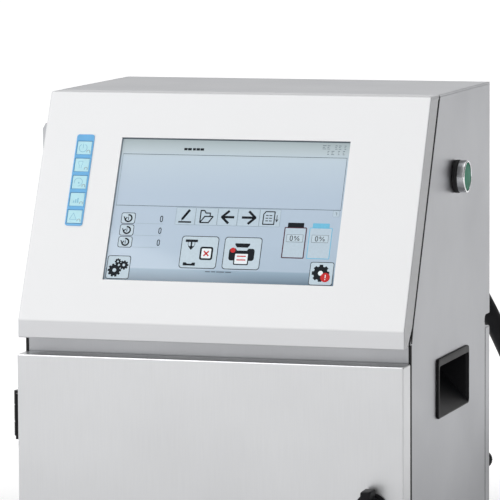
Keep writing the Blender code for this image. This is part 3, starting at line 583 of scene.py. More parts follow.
def tail_part(start):
    """From the coil forwards into the back of the printhead, and on through it to its valve."""
    spots = []
    for index in range(1, 5):
        share = index / 5
        spots.append(Vector((start.x + (HEAD[0] - start.x) * ease(share),
                             start.y + (HEAD[1] + GAP - start.y) * share,
                             start.z + (HEAD[2] - start.z) * ease(share))))
    spots += [Vector((HEAD[0], HEAD[1] + GAP - deep, HEAD[2])) for deep in (0, 0.038, 0.076)]
    return spots


falling = falling_part(COIL_Y + COIL_OUTER_TURN + TURN_PITCH)
coiled = coil_part()
hose_points = [ORIGIN + spot for spot in falling + coiled + tail_part(coiled[-1])]
hose = tube("umbilical", hose_points, HOSE_RADIUS, HOSE_RUBBER)
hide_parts("umbilical_hose", "umbilical_coil", "umbilical_tail")


# ---------------------------------------------------------------- CAD nodes that keep their shape
for names, finish, edge in (
        ("left_side_panel right_side_panel rear_cover rear_panel top_panel printhead_holder", STEEL_SHADED_SIDE, 0.0),
        ("door", STEEL_LIT_DOOR, 0.0),
        ("front_frame", STEEL_SHADED_FRAME, 0.0),
        ("base_tray", STEEL_SHADED_INSIDE, 0.0),
        ("shelf power_supply", ZINC, 0.0),
        ("face_panel", WHITE_COAT, 0.0),
        ("door_gasket", RUBBER, 0.0),
        ("lcd_module button_contact_block fan_frame mains_inlet", BLACK_PLASTIC, 0.0),
        ("touch_glass", SCREEN, 0.0),
        ("key_power key_nozzle key_jet key_level key_warning", KEY_CYAN, 0.0),
        ("mains_switch", GREY_PLASTIC, 0.0006),
        ("controller_board", BOARD, 0.0),
        ("latch_cam", STEEL_SHADED_INSIDE, 0.0005),
        ("valve_manifold nozzle_block", ALUMINIUM, 0.0)):
    finish_node(names.split(), finish, edge)

# ---------------------------------------------------------------- power button
BUTTON = (0.190, 0.4596)
BUTTON_RADIUS = 0.0153
LENS_RADIUS = 0.0131
button_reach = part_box("button_bezel")[1].x - ORIGIN.x
button_seal = half + 0.0052
button_centre = ORIGIN + Vector((0, *BUTTON))
AXIS_X = (1, 0, 0)
gasket = [(0.0112, half + GAP), (BUTTON_RADIUS + 0.0003, half + GAP), (BUTTON_RADIUS + 0.0003, button_seal - GAP),
          (0.0112, button_seal - GAP)]
piece("button_seal", turned(soften(gasket, 0.0009), button_centre, AXIS_X, 96), RUBBER,
      replaces=["button_gasket"])
rim = LENS_RADIUS + 0.0003
bezel = [(0.0094, 0.160), (0.0108, 0.160), (0.0108, button_seal), (BUTTON_RADIUS, button_seal),
         (BUTTON_RADIUS, button_reach - 0.0006), (BUTTON_RADIUS - 0.0007, button_reach), (rim + 0.0002, button_reach),
         (rim, button_reach - 0.0004),
         (rim, button_reach - 0.0060), (0.0094, button_reach - 0.0060)]
piece("button_ring", turned(soften(bezel, 0.0004), button_centre, AXIS_X, 96), SATIN_RING,
      replaces=["button_bezel"])
lens = [(0, 0.172), (0.0086, 0.172), (0.0086, button_reach - 0.0026), (LENS_RADIUS, button_reach - 0.0026),
        (LENS_RADIUS, button_reach - 0.0007), (LENS_RADIUS * 0.7, button_reach - 0.0003), (0, button_reach - 0.0002)]
piece("button_cap", turned(soften(lens, 0.0006), button_centre, AXIS_X, 96), GREEN_LENS, "power_button",
      replaces=["button_lens"])

# ---------------------------------------------------------------- door latch
LATCH = (0.1552, 0.172)
latch_centre = at(LATCH[0], 0, LATCH[1])
AXIS_Y = (0, 1, 0)
latch_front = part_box("latch_knob")[0].y - front_y
base = [(0.0046, -0.0003), (0.0046, -0.0030), (0.0120, -0.0038), (0.0158, -0.0030), (0.0158, -0.0003)]
piece("latch_escutcheon", turned(soften(base, 0.0009), latch_centre, AXIS_Y, 96), BLACK_PLASTIC, "door",
      replaces=["latch_base"])
hub = [(0, -0.0095), (0.0116, -0.0095), (0.0130, -0.0075), (0.0132, -0.0042), (0.0040, -0.0042), (0.0040, 0.0330),
       (0, 0.0330)]
knob = turned(soften(hub, 0.0010), latch_centre, AXIS_Y, 80)
WING_HALF = 0.0200
loops = []
for depth, share_x, share_z in ((-0.0060, 1.04, 1.0), (-0.0120, 1.0, 1.0), (-0.0180, 0.98, 0.995),
                                (latch_front + 0.0014, 0.95, 0.985), (latch_front + 0.0004, 0.91, 0.965),
                                (latch_front, 0.80, 0.94)):
    wide, tall = 0.0047 * share_x, WING_HALF * share_z
    loops.append([at(LATCH[0] + a, depth, LATCH[1] + b)
                  for a, b in rounded_rect((-wide, -tall), (wide, tall), 0.0013, 4)])
add_loft(knob, loops)
piece("latch_wing", knob, BLACK_PLASTIC, "latch", replaces=["latch_knob"], angle=25)

# ---------------------------------------------------------------- hinges
HINGE = (-0.1915, 0.026)
HINGE_RADIUS = 0.006
for name in ("upper", "lower"):
    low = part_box("hinge_bracket_" + name)[0].z
    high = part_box("hinge_bracket_" + name)[1].z
    third = (high - low) * 0.31
    pin = at(HINGE[0], HINGE[1], 0)
    side = -half - GAP
    outer = side - 0.0025
    clear = HINGE_RADIUS + 0.0006

    def knuckle(form, start, end, bore=0.0):
        outline = [(bore, start), (HINGE_RADIUS, start), (HINGE_RADIUS, end), (bore, end)]
        add_turned(form, soften(outline, 0.0006), pin, (0, 0, 1), 40)

    fixed = bmesh.new()
    knuckle(fixed, low, low + third)
    knuckle(fixed, high - third, high)
    add_turned(fixed, [(0, low + third), (0.0019, low + third), (0.0019, high - third), (0, high - third)],
               pin, (0, 0, 1), 20)
    add_box(fixed, at(outer, HINGE[1] + clear, low), at(side, 0.052, high))
    for start in (low, high - third):
        add_box(fixed, at(outer, HINGE[1], start + 0.0001),
                at(side - 0.0001, HINGE[1] + clear + 0.002, start + third - 0.0001))
    for z in (low + 0.011, high - 0.011):
        add_screw(fixed, at(outer, 0.0425, z), (-1, 0, 0), 0.0030, 0.0012)
    piece("hinge_fixed_" + name, fixed, BLACK_METAL, replaces=["hinge_bracket_" + name])

    moving = bmesh.new()
    knuckle(moving, low + third + 0.0005, high - third - 0.0005, 0.0023)
    add_box(moving, at(outer, 0.002, low), at(side, HINGE[1] - clear, high))
    add_box(moving, at(outer, HINGE[1] - clear - 0.002, low + third + 0.0006),
            at(side - 0.0001, HINGE[1] - 0.002, high - third - 0.0006))
    for z in (low + 0.011, high - 0.011):
        add_screw(moving, at(outer, 0.0098, z), (-1, 0, 0), 0.0030, 0.0012)
    piece("hinge_moving_" + name, moving, BLACK_METAL, "door", replaces=["hinge_leaf_" + name])

# ---------------------------------------------------------------- feet, rear knobs, gland
for y, where in ((0.060, "front"), (0.282, "rear")):
    for x, side in ((-0.155, "left"), (0.155, "right")):
        outline = [(0, 0), (0.0125, 0), (0.0140, 0.0015), (0.0146, 0.0100), (0.0138, 0.0112), (0.0138, 0.0128),
                   (0.0149, 0.0140), (0.0160, 0.0247), (0, 0.0247)]
        piece(f"foot_pad_{where}_{side}", turned(soften(outline, 0.0005, 2), at(x, y, 0), (0, 0, 1), 48), RUBBER,
              replaces=[f"foot_{where}_{side}"])

KNOB = (0.1762, 0.168)
for side, name in ((-1, "left"), (1, "right")):
    spots = [(0.0064, 0.3274), (0.0070, 0.3310), (0.0091, 0.3345), (0.0091, 0.3390),
             (0.0078, 0.3425), (0.0040, 0.3450)]
    loops = []
    lobes = 60
    for radius, along in spots:
        grip = 0.00045 if 0.334 < along < 0.340 else 0.0
        loop = []
        for k in range(lobes):
            across, rise = polar(radius - grip * (k % 2), 2 * math.pi * k / lobes)
            loop.append(at(side * KNOB[0] + across, along, KNOB[1] + rise))
        loops.append(loop)
    grip_knob = add_loft(bmesh.new(), loops)
    add_turned(grip_knob, [(0, 0.3185), (0.0030, 0.3185), (0.0030, 0.3276), (0, 0.3276)],
               at(side * KNOB[0], 0, KNOB[1]), AXIS_Y, 24)
    piece("thumbscrew_" + name, grip_knob, BLACK_PLASTIC, "rear_knob_" + name,
          replaces=["rear_knob_" + name], angle=30)

gland_at = at(GLAND[0], 0, GLAND[1])
start = 0.3273
gland = bmesh.new()
add_turned(gland, soften([(0, 0.312), (0.0120, 0.312), (0.0120, start), (0, start)], 0.0003), gland_at, AXIS_Y, 48)
for low_y, high_y, across in ((0.312, 0.319, 0.0175), (start, start + 0.008, 0.0190)):
    loops = []
    for y, share in ((low_y, 0.95), (low_y + 0.0008, 1.0), (high_y - 0.0008, 1.0), (high_y, 0.95)):
        loops.append([gland_at + Vector((across * share * math.cos(math.radians(60 * k)), y,
                                         across * share * math.sin(math.radians(60 * k)))) for k in range(6)])
    add_loft(gland, loops)
dome = [(0, start + 0.008), (0.0165, start + 0.008), (0.0168, start + 0.012), (0.0158, start + 0.018),
        (0.0142, start + 0.021)]
for ring in range(5):
    y = start + 0.024 + ring * 0.0048
    radius = 0.0139 - ring * 0.0005
    dome += [(radius, y - 0.0016), (radius, y + 0.0010), (radius - 0.0012, y + 0.0018), (radius - 0.0012, y + 0.0026)]
dome += [(0.0104, GLAND_END_Y), (0, GLAND_END_Y)]
add_turned(gland, soften(dome, 0.0004, 2), gland_at, AXIS_Y, 48)
gland_piece = piece("strain_relief", gland, BLACK_PLASTIC, replaces=["umbilical_gland"])

# ---------------------------------------------------------------- printhead
head_at = at(*HEAD)
AHEAD = (0, -1, 0)
body = [(0, 0), (0.0112, 0), (0.0150, 0.034), (0.0160, 0.036), (0.0190, 0.040), (0.0190, 0.0560), (0.0184, 0.0568),
        (0.0184, 0.0588), (0.0190, 0.0596), (0.0190, 0.1300), (0.0186, 0.1306), (0.0186, 0.1326), (0.0190, 0.1332),
        (0.0190, 0.140), (0.0178, 0.1415), (0, 0.1415)]
head_form = turned(soften(body, 0.0007), head_at, AHEAD, 80)
for angle in (35, 145, 270):
    spoke = Vector((math.cos(math.radians(angle)), 0, math.sin(math.radians(angle))))
    add_screw(head_form, head_at + spoke * 0.0187 + Vector((0, -0.050, 0)), spoke, 0.0022, 0.0009)
head_piece = piece("printhead", head_form, STEEL_SHADED_SIDE, replaces=["printhead_body"])
boot = [(0.0, 0.0002), (0.0113, 0.0002)]
for ring in range(6):
    y = 0.0040 + ring * 0.0052
    radius = 0.0121 + ring * 0.00055
    boot += [(radius, y - 0.0016), (radius, y + 0.0014), (radius - 0.0010, y + 0.0022), (radius - 0.0010, y + 0.0030)]
boot += [(0.0152, 0.0345), (0.0, 0.0345)]
boot_piece = piece("printhead_boot", turned(soften(boot, 0.0003, 2), head_at, AHEAD, 48), RUBBER)

sleeve = [(0.0194, 0.132), (0.0207, 0.132), (0.0207, 0.2075), (0.0190, 0.2105), (0.0030, 0.2105), (0.0030, 0.2090),
          (0.0183, 0.2090), (0.0194, 0.2078)]
sleeve_piece = piece("printhead_sleeve", turned(soften(sleeve, 0.0006), head_at, AHEAD, 80), STEEL_SHADED_SIDE,
                     "printhead_cover", replaces=["printhead_cover"])

# ---------------------------------------------------------------- seams, edges and pulls
FACE_TOP_Y, FACE_FOOT_Y, SLAB_DEEP = 0.1012, 0.0032, 0.0285
PULL_LOW, PULL_HIGH = (0.1178, 0.2388), (0.2360, 0.2948)
for side, name in ((-1, "left"), (1, "right")):
    bead = []
    for k in range(7):
        turn = math.radians(15 * k)
        bead.append((0.1823 + 0.0029 * math.cos(turn), 0.53725 + 0.0029 * math.sin(turn)))
    bead += [(0.1800, 0.5396), (0.1816, 0.5389), (0.1838, 0.5366), (0.1846, 0.5350)]
    loops = [[at(side * a, y, b) for a, b in bead] for y in (0.1052, 0.3262)]
    piece("top_edge_" + name, add_loft(bmesh.new(), loops), STEEL_SHADED_SIDE, angle=50)
    # Painted shadow: thin black strips along the seams between the face slab, the door and the side panels stand for
    # the shadow line in the gap there.
    front_seam = [(FACE_TOP_Y + SLAB_DEEP, 0.5385), (FACE_FOOT_Y + SLAB_DEEP, 0.335), (0.0268, 0.3205)]
    strip = [[at(side * x, y + shift, z) for y, z in front_seam] for x, shift in
             ((0.1838, 0.0002), (0.1853, 0.0002), (0.1853, 0.0034), (0.1838, 0.0034))]
    seam = bmesh.new()
    ribs = [[seam.verts.new(point) for point in rib] for rib in strip]
    for index in range(4):
        for k in range(2):
            seam.faces.new((ribs[index][k], ribs[index][k + 1],
                            ribs[(index + 1) % 4][k + 1], ribs[(index + 1) % 4][k]))
    for k in (0, 2):
        seam.faces.new([rib[k] for rib in ribs])
    piece("face_shadow_strip_" + name, seam, RUBBER, bevel=0.0002)
    seal = add_box(bmesh.new(), at(side * 0.1830, 0.0254, 0.042), at(side * 0.1853, 0.0286, 0.3195))
    piece("door_shadow_strip_" + name, seal, RUBBER)

    shell = []
    for x, inset, radius in ((0.1552, 0.0034, 0.003), (0.1850, 0.0034, 0.003), (0.18535, 0.0, 0.0045), (0.1866, 0.0, 0.0045),
                             (0.1873, 0.0004, 0.0043), (0.1875, 0.0011, 0.0040)):
        shell.append([at(side * x, a, b) for a, b in rounded_rect(
            (PULL_LOW[0] + inset, PULL_LOW[1] + inset), (PULL_HIGH[0] - inset, PULL_HIGH[1] - inset), radius, 5)])
    for x, front, rear, foot, top, radius in ((0.1875, 0.0036, 0.0018, 0.0016, 0.0066, 0.0032),
                                              (0.1871, 0.0040, 0.0022, 0.0019, 0.0070, 0.0030),
                                              (0.1848, 0.0046, 0.0046, 0.0046, 0.0074, 0.0028),
                                              (0.1735, 0.0052, 0.0052, 0.0170, 0.0076, 0.0028),
                                              (0.1610, 0.0058, 0.0058, 0.0300, 0.0080, 0.0028),
                                              (0.1572, 0.0062, 0.0062, 0.0325, 0.0084, 0.0026)):
        shell.append([at(side * x, a, b) for a, b in rounded_rect(
            (PULL_LOW[0] + front, PULL_LOW[1] + foot), (PULL_HIGH[0] - rear, PULL_HIGH[1] - top), radius, 5)])
    piece("pull_" + name, add_loft(bmesh.new(), shell), BLACK_PLASTIC,
          replaces=[name + "_handle"], angle=30)
    low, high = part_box("rear_cover")
    seal = add_box(bmesh.new(), at(side * 0.1838, 0.3087, low.z + 0.001), at(side * 0.1851, 0.3098, high.z - 0.001))
    piece("rear_cover_seal_" + name, seal, RUBBER)

# ---------------------------------------------------------------- coil ties
for index, angle in enumerate((200, 320)):
    turn = math.radians(angle)
    outward = Vector((math.cos(turn), math.sin(turn), 0))
    along = Vector((-math.sin(turn), math.cos(turn), 0))
    centre = ORIGIN + Vector((COIL_X, COIL_Y, 0)) + outward * (COIL_OUTER_TURN - TURN_PITCH / 2)
    reach, foot, crown = 0.0203, 0.00025, 0.0368
    outline = [(-reach, foot + 0.004), (-reach, 0.0125), (-0.0125, 0.0300), (-0.0060, crown), (0.0060, crown),
               (0.0125, 0.0300), (reach, 0.0125), (reach, foot + 0.004), (0.0165, foot), (-0.0165, foot)]
    rounded = [(a, b) for a, b in soften([(p[0] + 1, p[1]) for p in outline], 0.004, 3)]
    inner, outer_loop = [], []
    middle_z = 0.016
    for a, b in rounded:
        a -= 1
        inner.append((a, b))
        outer_loop.append((a * 1.045, max(0.0001, middle_z + (b - middle_z) * 1.06)))
    strap = bmesh.new()
    rows = []
    for shift in (-0.0055, 0.0055):
        for ring in (inner, outer_loop):
            rows.append([strap.verts.new(centre + outward * a + Vector((0, 0, b)) + along * shift) for a, b in ring])
    count = len(inner)
    for first, second in ((0, 1), (1, 3), (3, 2), (2, 0)):
        for k in range(count):
            j = (k + 1) % count
            strap.faces.new((rows[first][k], rows[first][j], rows[second][j], rows[second][k]))
    tie = piece(f"coil_tie_{index}", strap, BLACK_METAL, angle=50)

# ---------------------------------------------------------------- fan, screws and rear fittings
FAN = (-0.090, 0.450)
fan_low, fan_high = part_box("fan_rotor")
fan_centre = at(FAN[0], 0, FAN[1])
blade_low = fan_low.y - front_y
blade_high = fan_high.y - front_y
rotor = turned(soften([(0, blade_low), (0.0145, blade_low), (0.0145, blade_high - 0.001), (0.0130, blade_high),
                       (0, blade_high)], 0.0012), fan_centre, AXIS_Y, 48)
for index in range(7):
    loops = []
    for step in range(6):
        share = step / 5
        radius = 0.0138 + 0.0222 * share
        sweep = math.radians(360 * index / 7 + 16 * share)
        pitch = math.radians(58 - 24 * share)
        out = Vector((math.cos(sweep), 0, math.sin(sweep)))
        across = Vector((-math.sin(sweep), 0, math.cos(sweep)))
        chord = 0.0052 + 0.0026 * share
        run = across * math.cos(pitch) + Vector((0, math.sin(pitch), 0))
        skin = run.cross(out).normalized() * 0.0006
        middle = fan_centre + out * radius + Vector((0, (blade_low + blade_high) / 2, 0))
        loops.append([middle - run * chord - skin, middle + run * chord - skin, middle + run * chord + skin,
                      middle - run * chord + skin])
    add_loft(rotor, loops)
piece("fan_blades", rotor, BLACK_PLASTIC, "fan_rotor", replaces=["fan_rotor"])

rear_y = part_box("rear_panel")[1].y - front_y
screws = bmesh.new()
spots = [(FAN[0] + a * 0.0375, FAN[1] + b * 0.0375) for a in (-1, 1) for b in (-1, 1)]
spots += [(a * 0.172, b) for a in (-1, 1) for b in (0.326, 0.430, 0.528)]
spots += [(0.0, 0.528), (0.060, 0.326)]
spots += [(a * 0.172, b) for a in (-1, 1) for b in (0.046, 0.286)]
for x, z in spots:
    add_screw(screws, at(x, rear_y, z), AXIS_Y, 0.0032, 0.0016)
piece("rear_screws", screws, CHROME)
inlet_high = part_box("mains_inlet")[1].y - front_y
fixings = bmesh.new()
for z in (0.375 - 0.0252, 0.375 + 0.0252):
    add_screw(fixings, at(0.005, inlet_high, z), AXIS_Y, 0.0016, 0.0009)
piece("inlet_screws", fixings, CHROME)
frame_fixings = bmesh.new()
for side in (-1, 1):
    for z in (0.060, 0.180, 0.270):
        add_screw(frame_fixings, at(side * 0.1660, 0.0265, z), (0, -1, 0), 0.0028, 0.0013)
piece("frame_screws", frame_fixings, CHROME)

# ---------------------------------------------------------------- ink compartment


def bottle(name, node, cap_node, finish, cap_finish):
    """Blow-moulded square bottle: crowned shoulders, a waist groove, a neck, and a ridged screw cap."""
    low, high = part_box(node)
    body_top = high.z - 0.014
    neck = (low + high) / 2
    wide, deep = (high.x - low.x) / 2, (high.y - low.y) / 2
    levels = [(low.z, 0.90), (low.z + 0.0015, 0.955), (low.z + 0.006, 1.0), (low.z + 0.030, 1.0),
              (low.z + 0.034, 0.975), (low.z + 0.040, 0.975), (low.z + 0.044, 1.0), (body_top - 0.034, 1.0),
              (body_top - 0.018, 0.985), (body_top - 0.008, 0.90), (body_top - 0.002, 0.66), (body_top, 0.48)]
    loops = []
    for z, share in levels:
        a, b = wide * share, deep * share
        corner = min(0.014, a * 0.45, b * 0.45)
        loops.append([Vector((neck.x + p, neck.y + q, z)) for p, q in rounded_rect((-a, -b), (a, b), corner, 6)])
    radius = 0.0170
    for z, reach in ((body_top + 0.0012, 0.0185), (body_top + 0.0026, radius), (high.z, radius)):
        ring = []
        for point in loops[0]:
            away = Vector((point.x - neck.x, point.y - neck.y, 0)).normalized()
            ring.append(Vector((neck.x, neck.y, z)) + away * reach)
        loops.append(ring)
    piece(name, add_loft(bmesh.new(), loops), finish, replaces=[node], angle=40)
    cap = bmesh.new()
    lobes = 96
    base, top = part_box(cap_node)[0].z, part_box(cap_node)[1].z
    loops = []
    for z, radius, grip in ((base, 0.0214, 0), (base + 0.0008, 0.0218, 0.0006), (top - 0.003, 0.0218, 0.0006),
                            (top - 0.0012, 0.0212, 0.0002), (top, 0.0195, 0)):
        loop = []
        for k in range(lobes):
            across, along = polar(radius - grip * (1 if k % 4 < 2 else 0), 2 * math.pi * k / lobes)
            loop.append(Vector((neck.x + across, neck.y + along, z)))
        loops.append(loop)
    add_loft(cap, loops)
    piece(name + "_cap", cap, cap_finish, cap_node, replaces=[cap_node], angle=30)


bottle("ink_bottle", "ink_tank", "ink_cap", BLACK_PLASTIC, BLACK_PLASTIC)
bottle("solvent_bottle", "solvent_tank", "solvent_cap", NATURAL, CAP_BLUE)

motor_low, motor_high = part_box("pump_motor")
motor_at = Vector(((motor_low.x + motor_high.x) / 2, (motor_low.y + motor_high.y) / 2, 0))
can = [(0, motor_low.z), (0.0215, motor_low.z), (0.0230, motor_low.z + 0.002)]
for ring in range(9):
    z = motor_low.z + 0.008 + ring * 0.0058
    can += [(0.0230, z), (0.0218, z + 0.0006), (0.0218, z + 0.0022), (0.0230, z + 0.0028)]
can += [(0.0230, motor_high.z - 0.002), (0.0150, motor_high.z), (0, motor_high.z)]
piece("pump_motor_can", turned(can, motor_at, (0, 0, 1), 64), BLACK_METAL,
      replaces=["pump_motor"])
pump_low, pump_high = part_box("ink_pump")
pump = bmesh.new()
loops = []
for z, share in ((pump_low.z, 0.96), (pump_low.z + 0.001, 1.0), (pump_low.z + 0.0098, 1.0), (pump_low.z + 0.0103, 0.965),
                 (pump_low.z + 0.0115, 0.965), (pump_low.z + 0.0120, 1.0), (pump_high.z - 0.0015, 1.0), (pump_high.z, 0.95)):
    size = (pump_high.x - pump_low.x) / 2 * share
    loops.append([Vector((motor_at.x + a, motor_at.y + b, z))
                  for a, b in rounded_rect((-size, -size), (size, size), 0.005, 4)])
add_loft(pump, loops)
for a in (-1, 1):
    for b in (-1, 1):
        add_screw(pump, Vector((motor_at.x + a * 0.0155, motor_at.y + b * 0.0155, pump_high.z - 0.0003)), (0, 0, 1),
                  0.0026, 0.0014)
piece("pump_head", pump, ALUMINIUM, replaces=["ink_pump"])

filter_low, filter_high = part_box("ink_filter")
filter_at = Vector(((filter_low.x + filter_high.x) / 2, (filter_low.y + filter_high.y) / 2, 0))
z0, z1 = filter_low.z, filter_high.z
can = [(0, z0), (0.0240, z0), (0.0250, z0 + 0.001), (0.0250, z0 + 0.012), (0.0242, z0 + 0.0135), (0.0242, z1 - 0.036),
       (0.0250, z1 - 0.0345), (0.0250, z1 - 0.016), (0.0180, z1 - 0.010), (0.0080, z1 - 0.010), (0.0080, z1 - 0.0070),
       (0.0068, z1 - 0.0062), (0.0068, z1 - 0.0040), (0.0080, z1 - 0.0032), (0.0080, z1), (0, z1)]
piece("filter_can", turned(soften(can, 0.0006, 2), filter_at, (0, 0, 1), 64), WHITE_PLASTIC,
      replaces=["ink_filter"])

manifold_low, manifold_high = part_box("valve_manifold")
fittings = bmesh.new()
for index in range(4):
    x = 0.064 + index * 0.0275
    add_turned(fittings, soften([(0, 0), (0.0050, 0), (0.0050, 0.005), (0.0034, 0.006), (0.0034, 0.011), (0, 0.011)], 0.0004),
               at(x, 0.275, manifold_high.z - 0.0003), (0, 0, 1), 24)
    add_turned(fittings, soften([(0, 0), (0.0072, 0), (0.0072, 0.006), (0.0045, 0.008), (0, 0.008)], 0.0006),
               at(x, manifold_low.y - front_y + 0.0003, 0.165), (0, -1, 0), 32)
piece("manifold_fittings", fittings, BRASS)
top_of_fitting = manifold_high.z + 0.0085
pipe_runs = {
    "pipe_pump_filter": [at(-0.018, 0.246, pump_high.z - 0.001), at(-0.018, 0.248, pump_high.z + 0.022),
                         at(-0.040, 0.250, 0.176), at(-0.075, 0.250, 0.198), at(-0.098, 0.244, 0.198),
                         at(-0.105, 0.240, z1 + 0.010), at(-0.105, 0.240, z1 - 0.0006)],
    "pipe_pump_manifold": [at(-0.002, 0.246, pump_high.z - 0.001), at(-0.001, 0.252, pump_high.z + 0.024),
                           at(0.016, 0.268, 0.185), at(0.042, 0.275, 0.214), at(0.060, 0.276, 0.206),
                           at(0.064, 0.275, top_of_fitting)],
}
for index, x in enumerate((0.0915, 0.119, 0.1465)):
    pipe_runs[f"pipe_riser_{index}"] = [at(x, 0.275, top_of_fitting), at(x, 0.275, top_of_fitting + 0.030),
                                        at(x + (0.106 - x) * 0.5, 0.279, 0.250), at(0.098 + index * 0.008, 0.283, 0.285),
                                        at(0.098 + index * 0.008, 0.284, 0.3140)]
for name, points in pipe_runs.items():
    tube(name, points, 0.0026, HOSE_RUBBER if "riser" in name else NATURAL, depth=4)
grommet = [(0, 0.3085), (0.0185, 0.3085), (0.0185, 0.3125), (0.0160, 0.3160), (0, 0.3160)]
piece("shelf_grommet", turned(soften(grommet, 0.0010), at(0.106, 0.284, 0), (0, 0, 1), 40),
      RUBBER)

# ---------------------------------------------------------------- electronics
chips = bmesh.new()
SHELF_Z, SHEET, BOARD_TOP = 0.3165, 0.0015, 0.0116
floor_z = SHELF_Z + SHEET + GAP + BOARD_TOP
for x, y, wide, deep in ((0.030, 0.180, 0.028, 0.028), (0.060, 0.150, 0.012, 0.008), (0.060, 0.200, 0.014, 0.010),
                         (0.000, 0.160, 0.010, 0.010), (0.105, 0.200, 0.008, 0.012)):
    add_box(chips, at(x - wide / 2, y - deep / 2, floor_z - 0.0002), at(x + wide / 2, y + deep / 2, floor_z + 0.0034))
piece("board_chips", chips, CHIP, bevel=0.0003)
pins = bmesh.new()
for side in (-1, 1):
    for k in range(16):
        shift = -0.012 + k * 0.0016
        add_box(pins, at(0.030 + side * 0.0140 - 0.0010, 0.180 + shift, floor_z),
                at(0.030 + side * 0.0140 + 0.0010, 0.180 + shift + 0.0007, floor_z + 0.0010))
piece("board_pins", pins, GOLD)

# ---------------------------------------------------------------- printed and lit graphics
KEYPAD_LOW, KEYPAD_HIGH = (-0.1524, 0.0931), (-0.1352, 0.1841)


class Print:
    """Thin printed shapes on the slanted face; u runs right and v runs down, in millimetres."""

    def __init__(self, left, top, base, inks):
        self.left, self.top, self.base = left, top, base
        self.inks = list(inks)
        self.form = bmesh.new()

    def shape(self, points, ink, layer=0):
        low, high = self.base - 0.00004, self.base + 0.00005 * (layer + 1)
        loops = [[FACE @ Vector((self.left + u / 1000, self.top - v / 1000, z)) for u, v in points]
                 for z in (low, high)]
        add_loft(self.form, loops, index=self.inks.index(ink))

    def rect(self, u0, v0, u1, v1, ink, layer=0, radius=0.0):
        self.shape(rounded_rect((u0, v0), (u1, v1), radius, 4) if radius else
                   [(u1, v1), (u0, v1), (u0, v0), (u1, v0)], ink, layer)

    def framed(self, u0, v0, u1, v1, line, ink, fill, layer=0, radius=0.0):
        self.rect(u0, v0, u1, v1, ink, layer, radius)
        self.rect(u0 + line, v0 + line, u1 - line, v1 - line, fill, layer + 1, max(0.0, radius - line * 0.6))

    def line(self, points, wide, ink, layer=0):
        for (a, b), (c, d) in zip(points, points[1:]):
            long = math.hypot(c - a, d - b)
            if long < 1e-6:
                continue
            p, q = -(d - b) / long * wide / 2, (c - a) / long * wide / 2
            e, f = (c - a) / long * wide * 0.18, (d - b) / long * wide * 0.18
            self.shape([(a + p - e, b + q - f), (c + p + e, d + q + f),
                        (c - p + e, d - q + f), (a - p - e, b - q - f)], ink, layer)

    def disc(self, u, v, radius, ink, layer=0, steps=24):
        self.shape([(u + radius * math.cos(2 * math.pi * k / steps), v + radius * math.sin(2 * math.pi * k / steps))
                    for k in range(steps)], ink, layer)

    def bow(self, u, v, radius, wide, start, end, ink, layer=0, steps=14):
        points = [(u + radius * math.cos(math.radians(start + (end - start) * k / steps)),
                   v + radius * math.sin(math.radians(start + (end - start) * k / steps))) for k in range(steps + 1)]
        self.line(points, wide, ink, layer)

    def gear(self, u, v, radius, teeth, ink, hole, layer=0):
        points = []
        for k in range(teeth):
            for turn, reach in ((-0.34, 0.80), (-0.25, 1.0), (0.25, 1.0), (0.34, 0.80)):
                angle = 2 * math.pi * (k + turn) / teeth
                points.append((u + radius * reach * math.cos(angle), v + radius * reach * math.sin(angle)))
        self.shape(points, ink, layer)
        self.disc(u, v, radius * 0.28, hole, layer + 1)

    def zero(self, u, v, wide, tall, line, ink, layer=0):
        self.line([(u - wide / 2, v - tall * 0.3), (u - wide * 0.2, v - tall / 2), (u + wide * 0.2, v - tall / 2),
                   (u + wide / 2, v - tall * 0.3), (u + wide / 2, v + tall * 0.3), (u + wide * 0.2, v + tall / 2),
                   (u - wide * 0.2, v + tall / 2), (u - wide / 2, v + tall * 0.3), (u - wide / 2, v - tall * 0.3)],
                  line, ink, layer)


INKS = {
    "dark": paint("ink_dark", (0.006, 0.009, 0.014)),
    "line": paint("ink_line", (0.085, 0.115, 0.145)),
    "soft": paint("ink_soft", (0.290, 0.370, 0.430), 0.30, 0.05),
    "pale": paint("ink_pale", (0.480, 0.580, 0.660), 0.25, 0.10),
    "tile": paint("ink_tile", (0.520, 0.620, 0.690), 0.25, 0.10),
    "white": paint("ink_white", (0.780, 0.840, 0.870), 0.25, 0.12),
    "blue": paint("ink_blue", (0.170, 0.500, 0.700), 0.25, 0.08),
    "red": paint("ink_red", (0.560, 0.028, 0.030), 0.30, 0.06),
    "plum": paint("ink_plum", (0.080, 0.022, 0.040)),
}


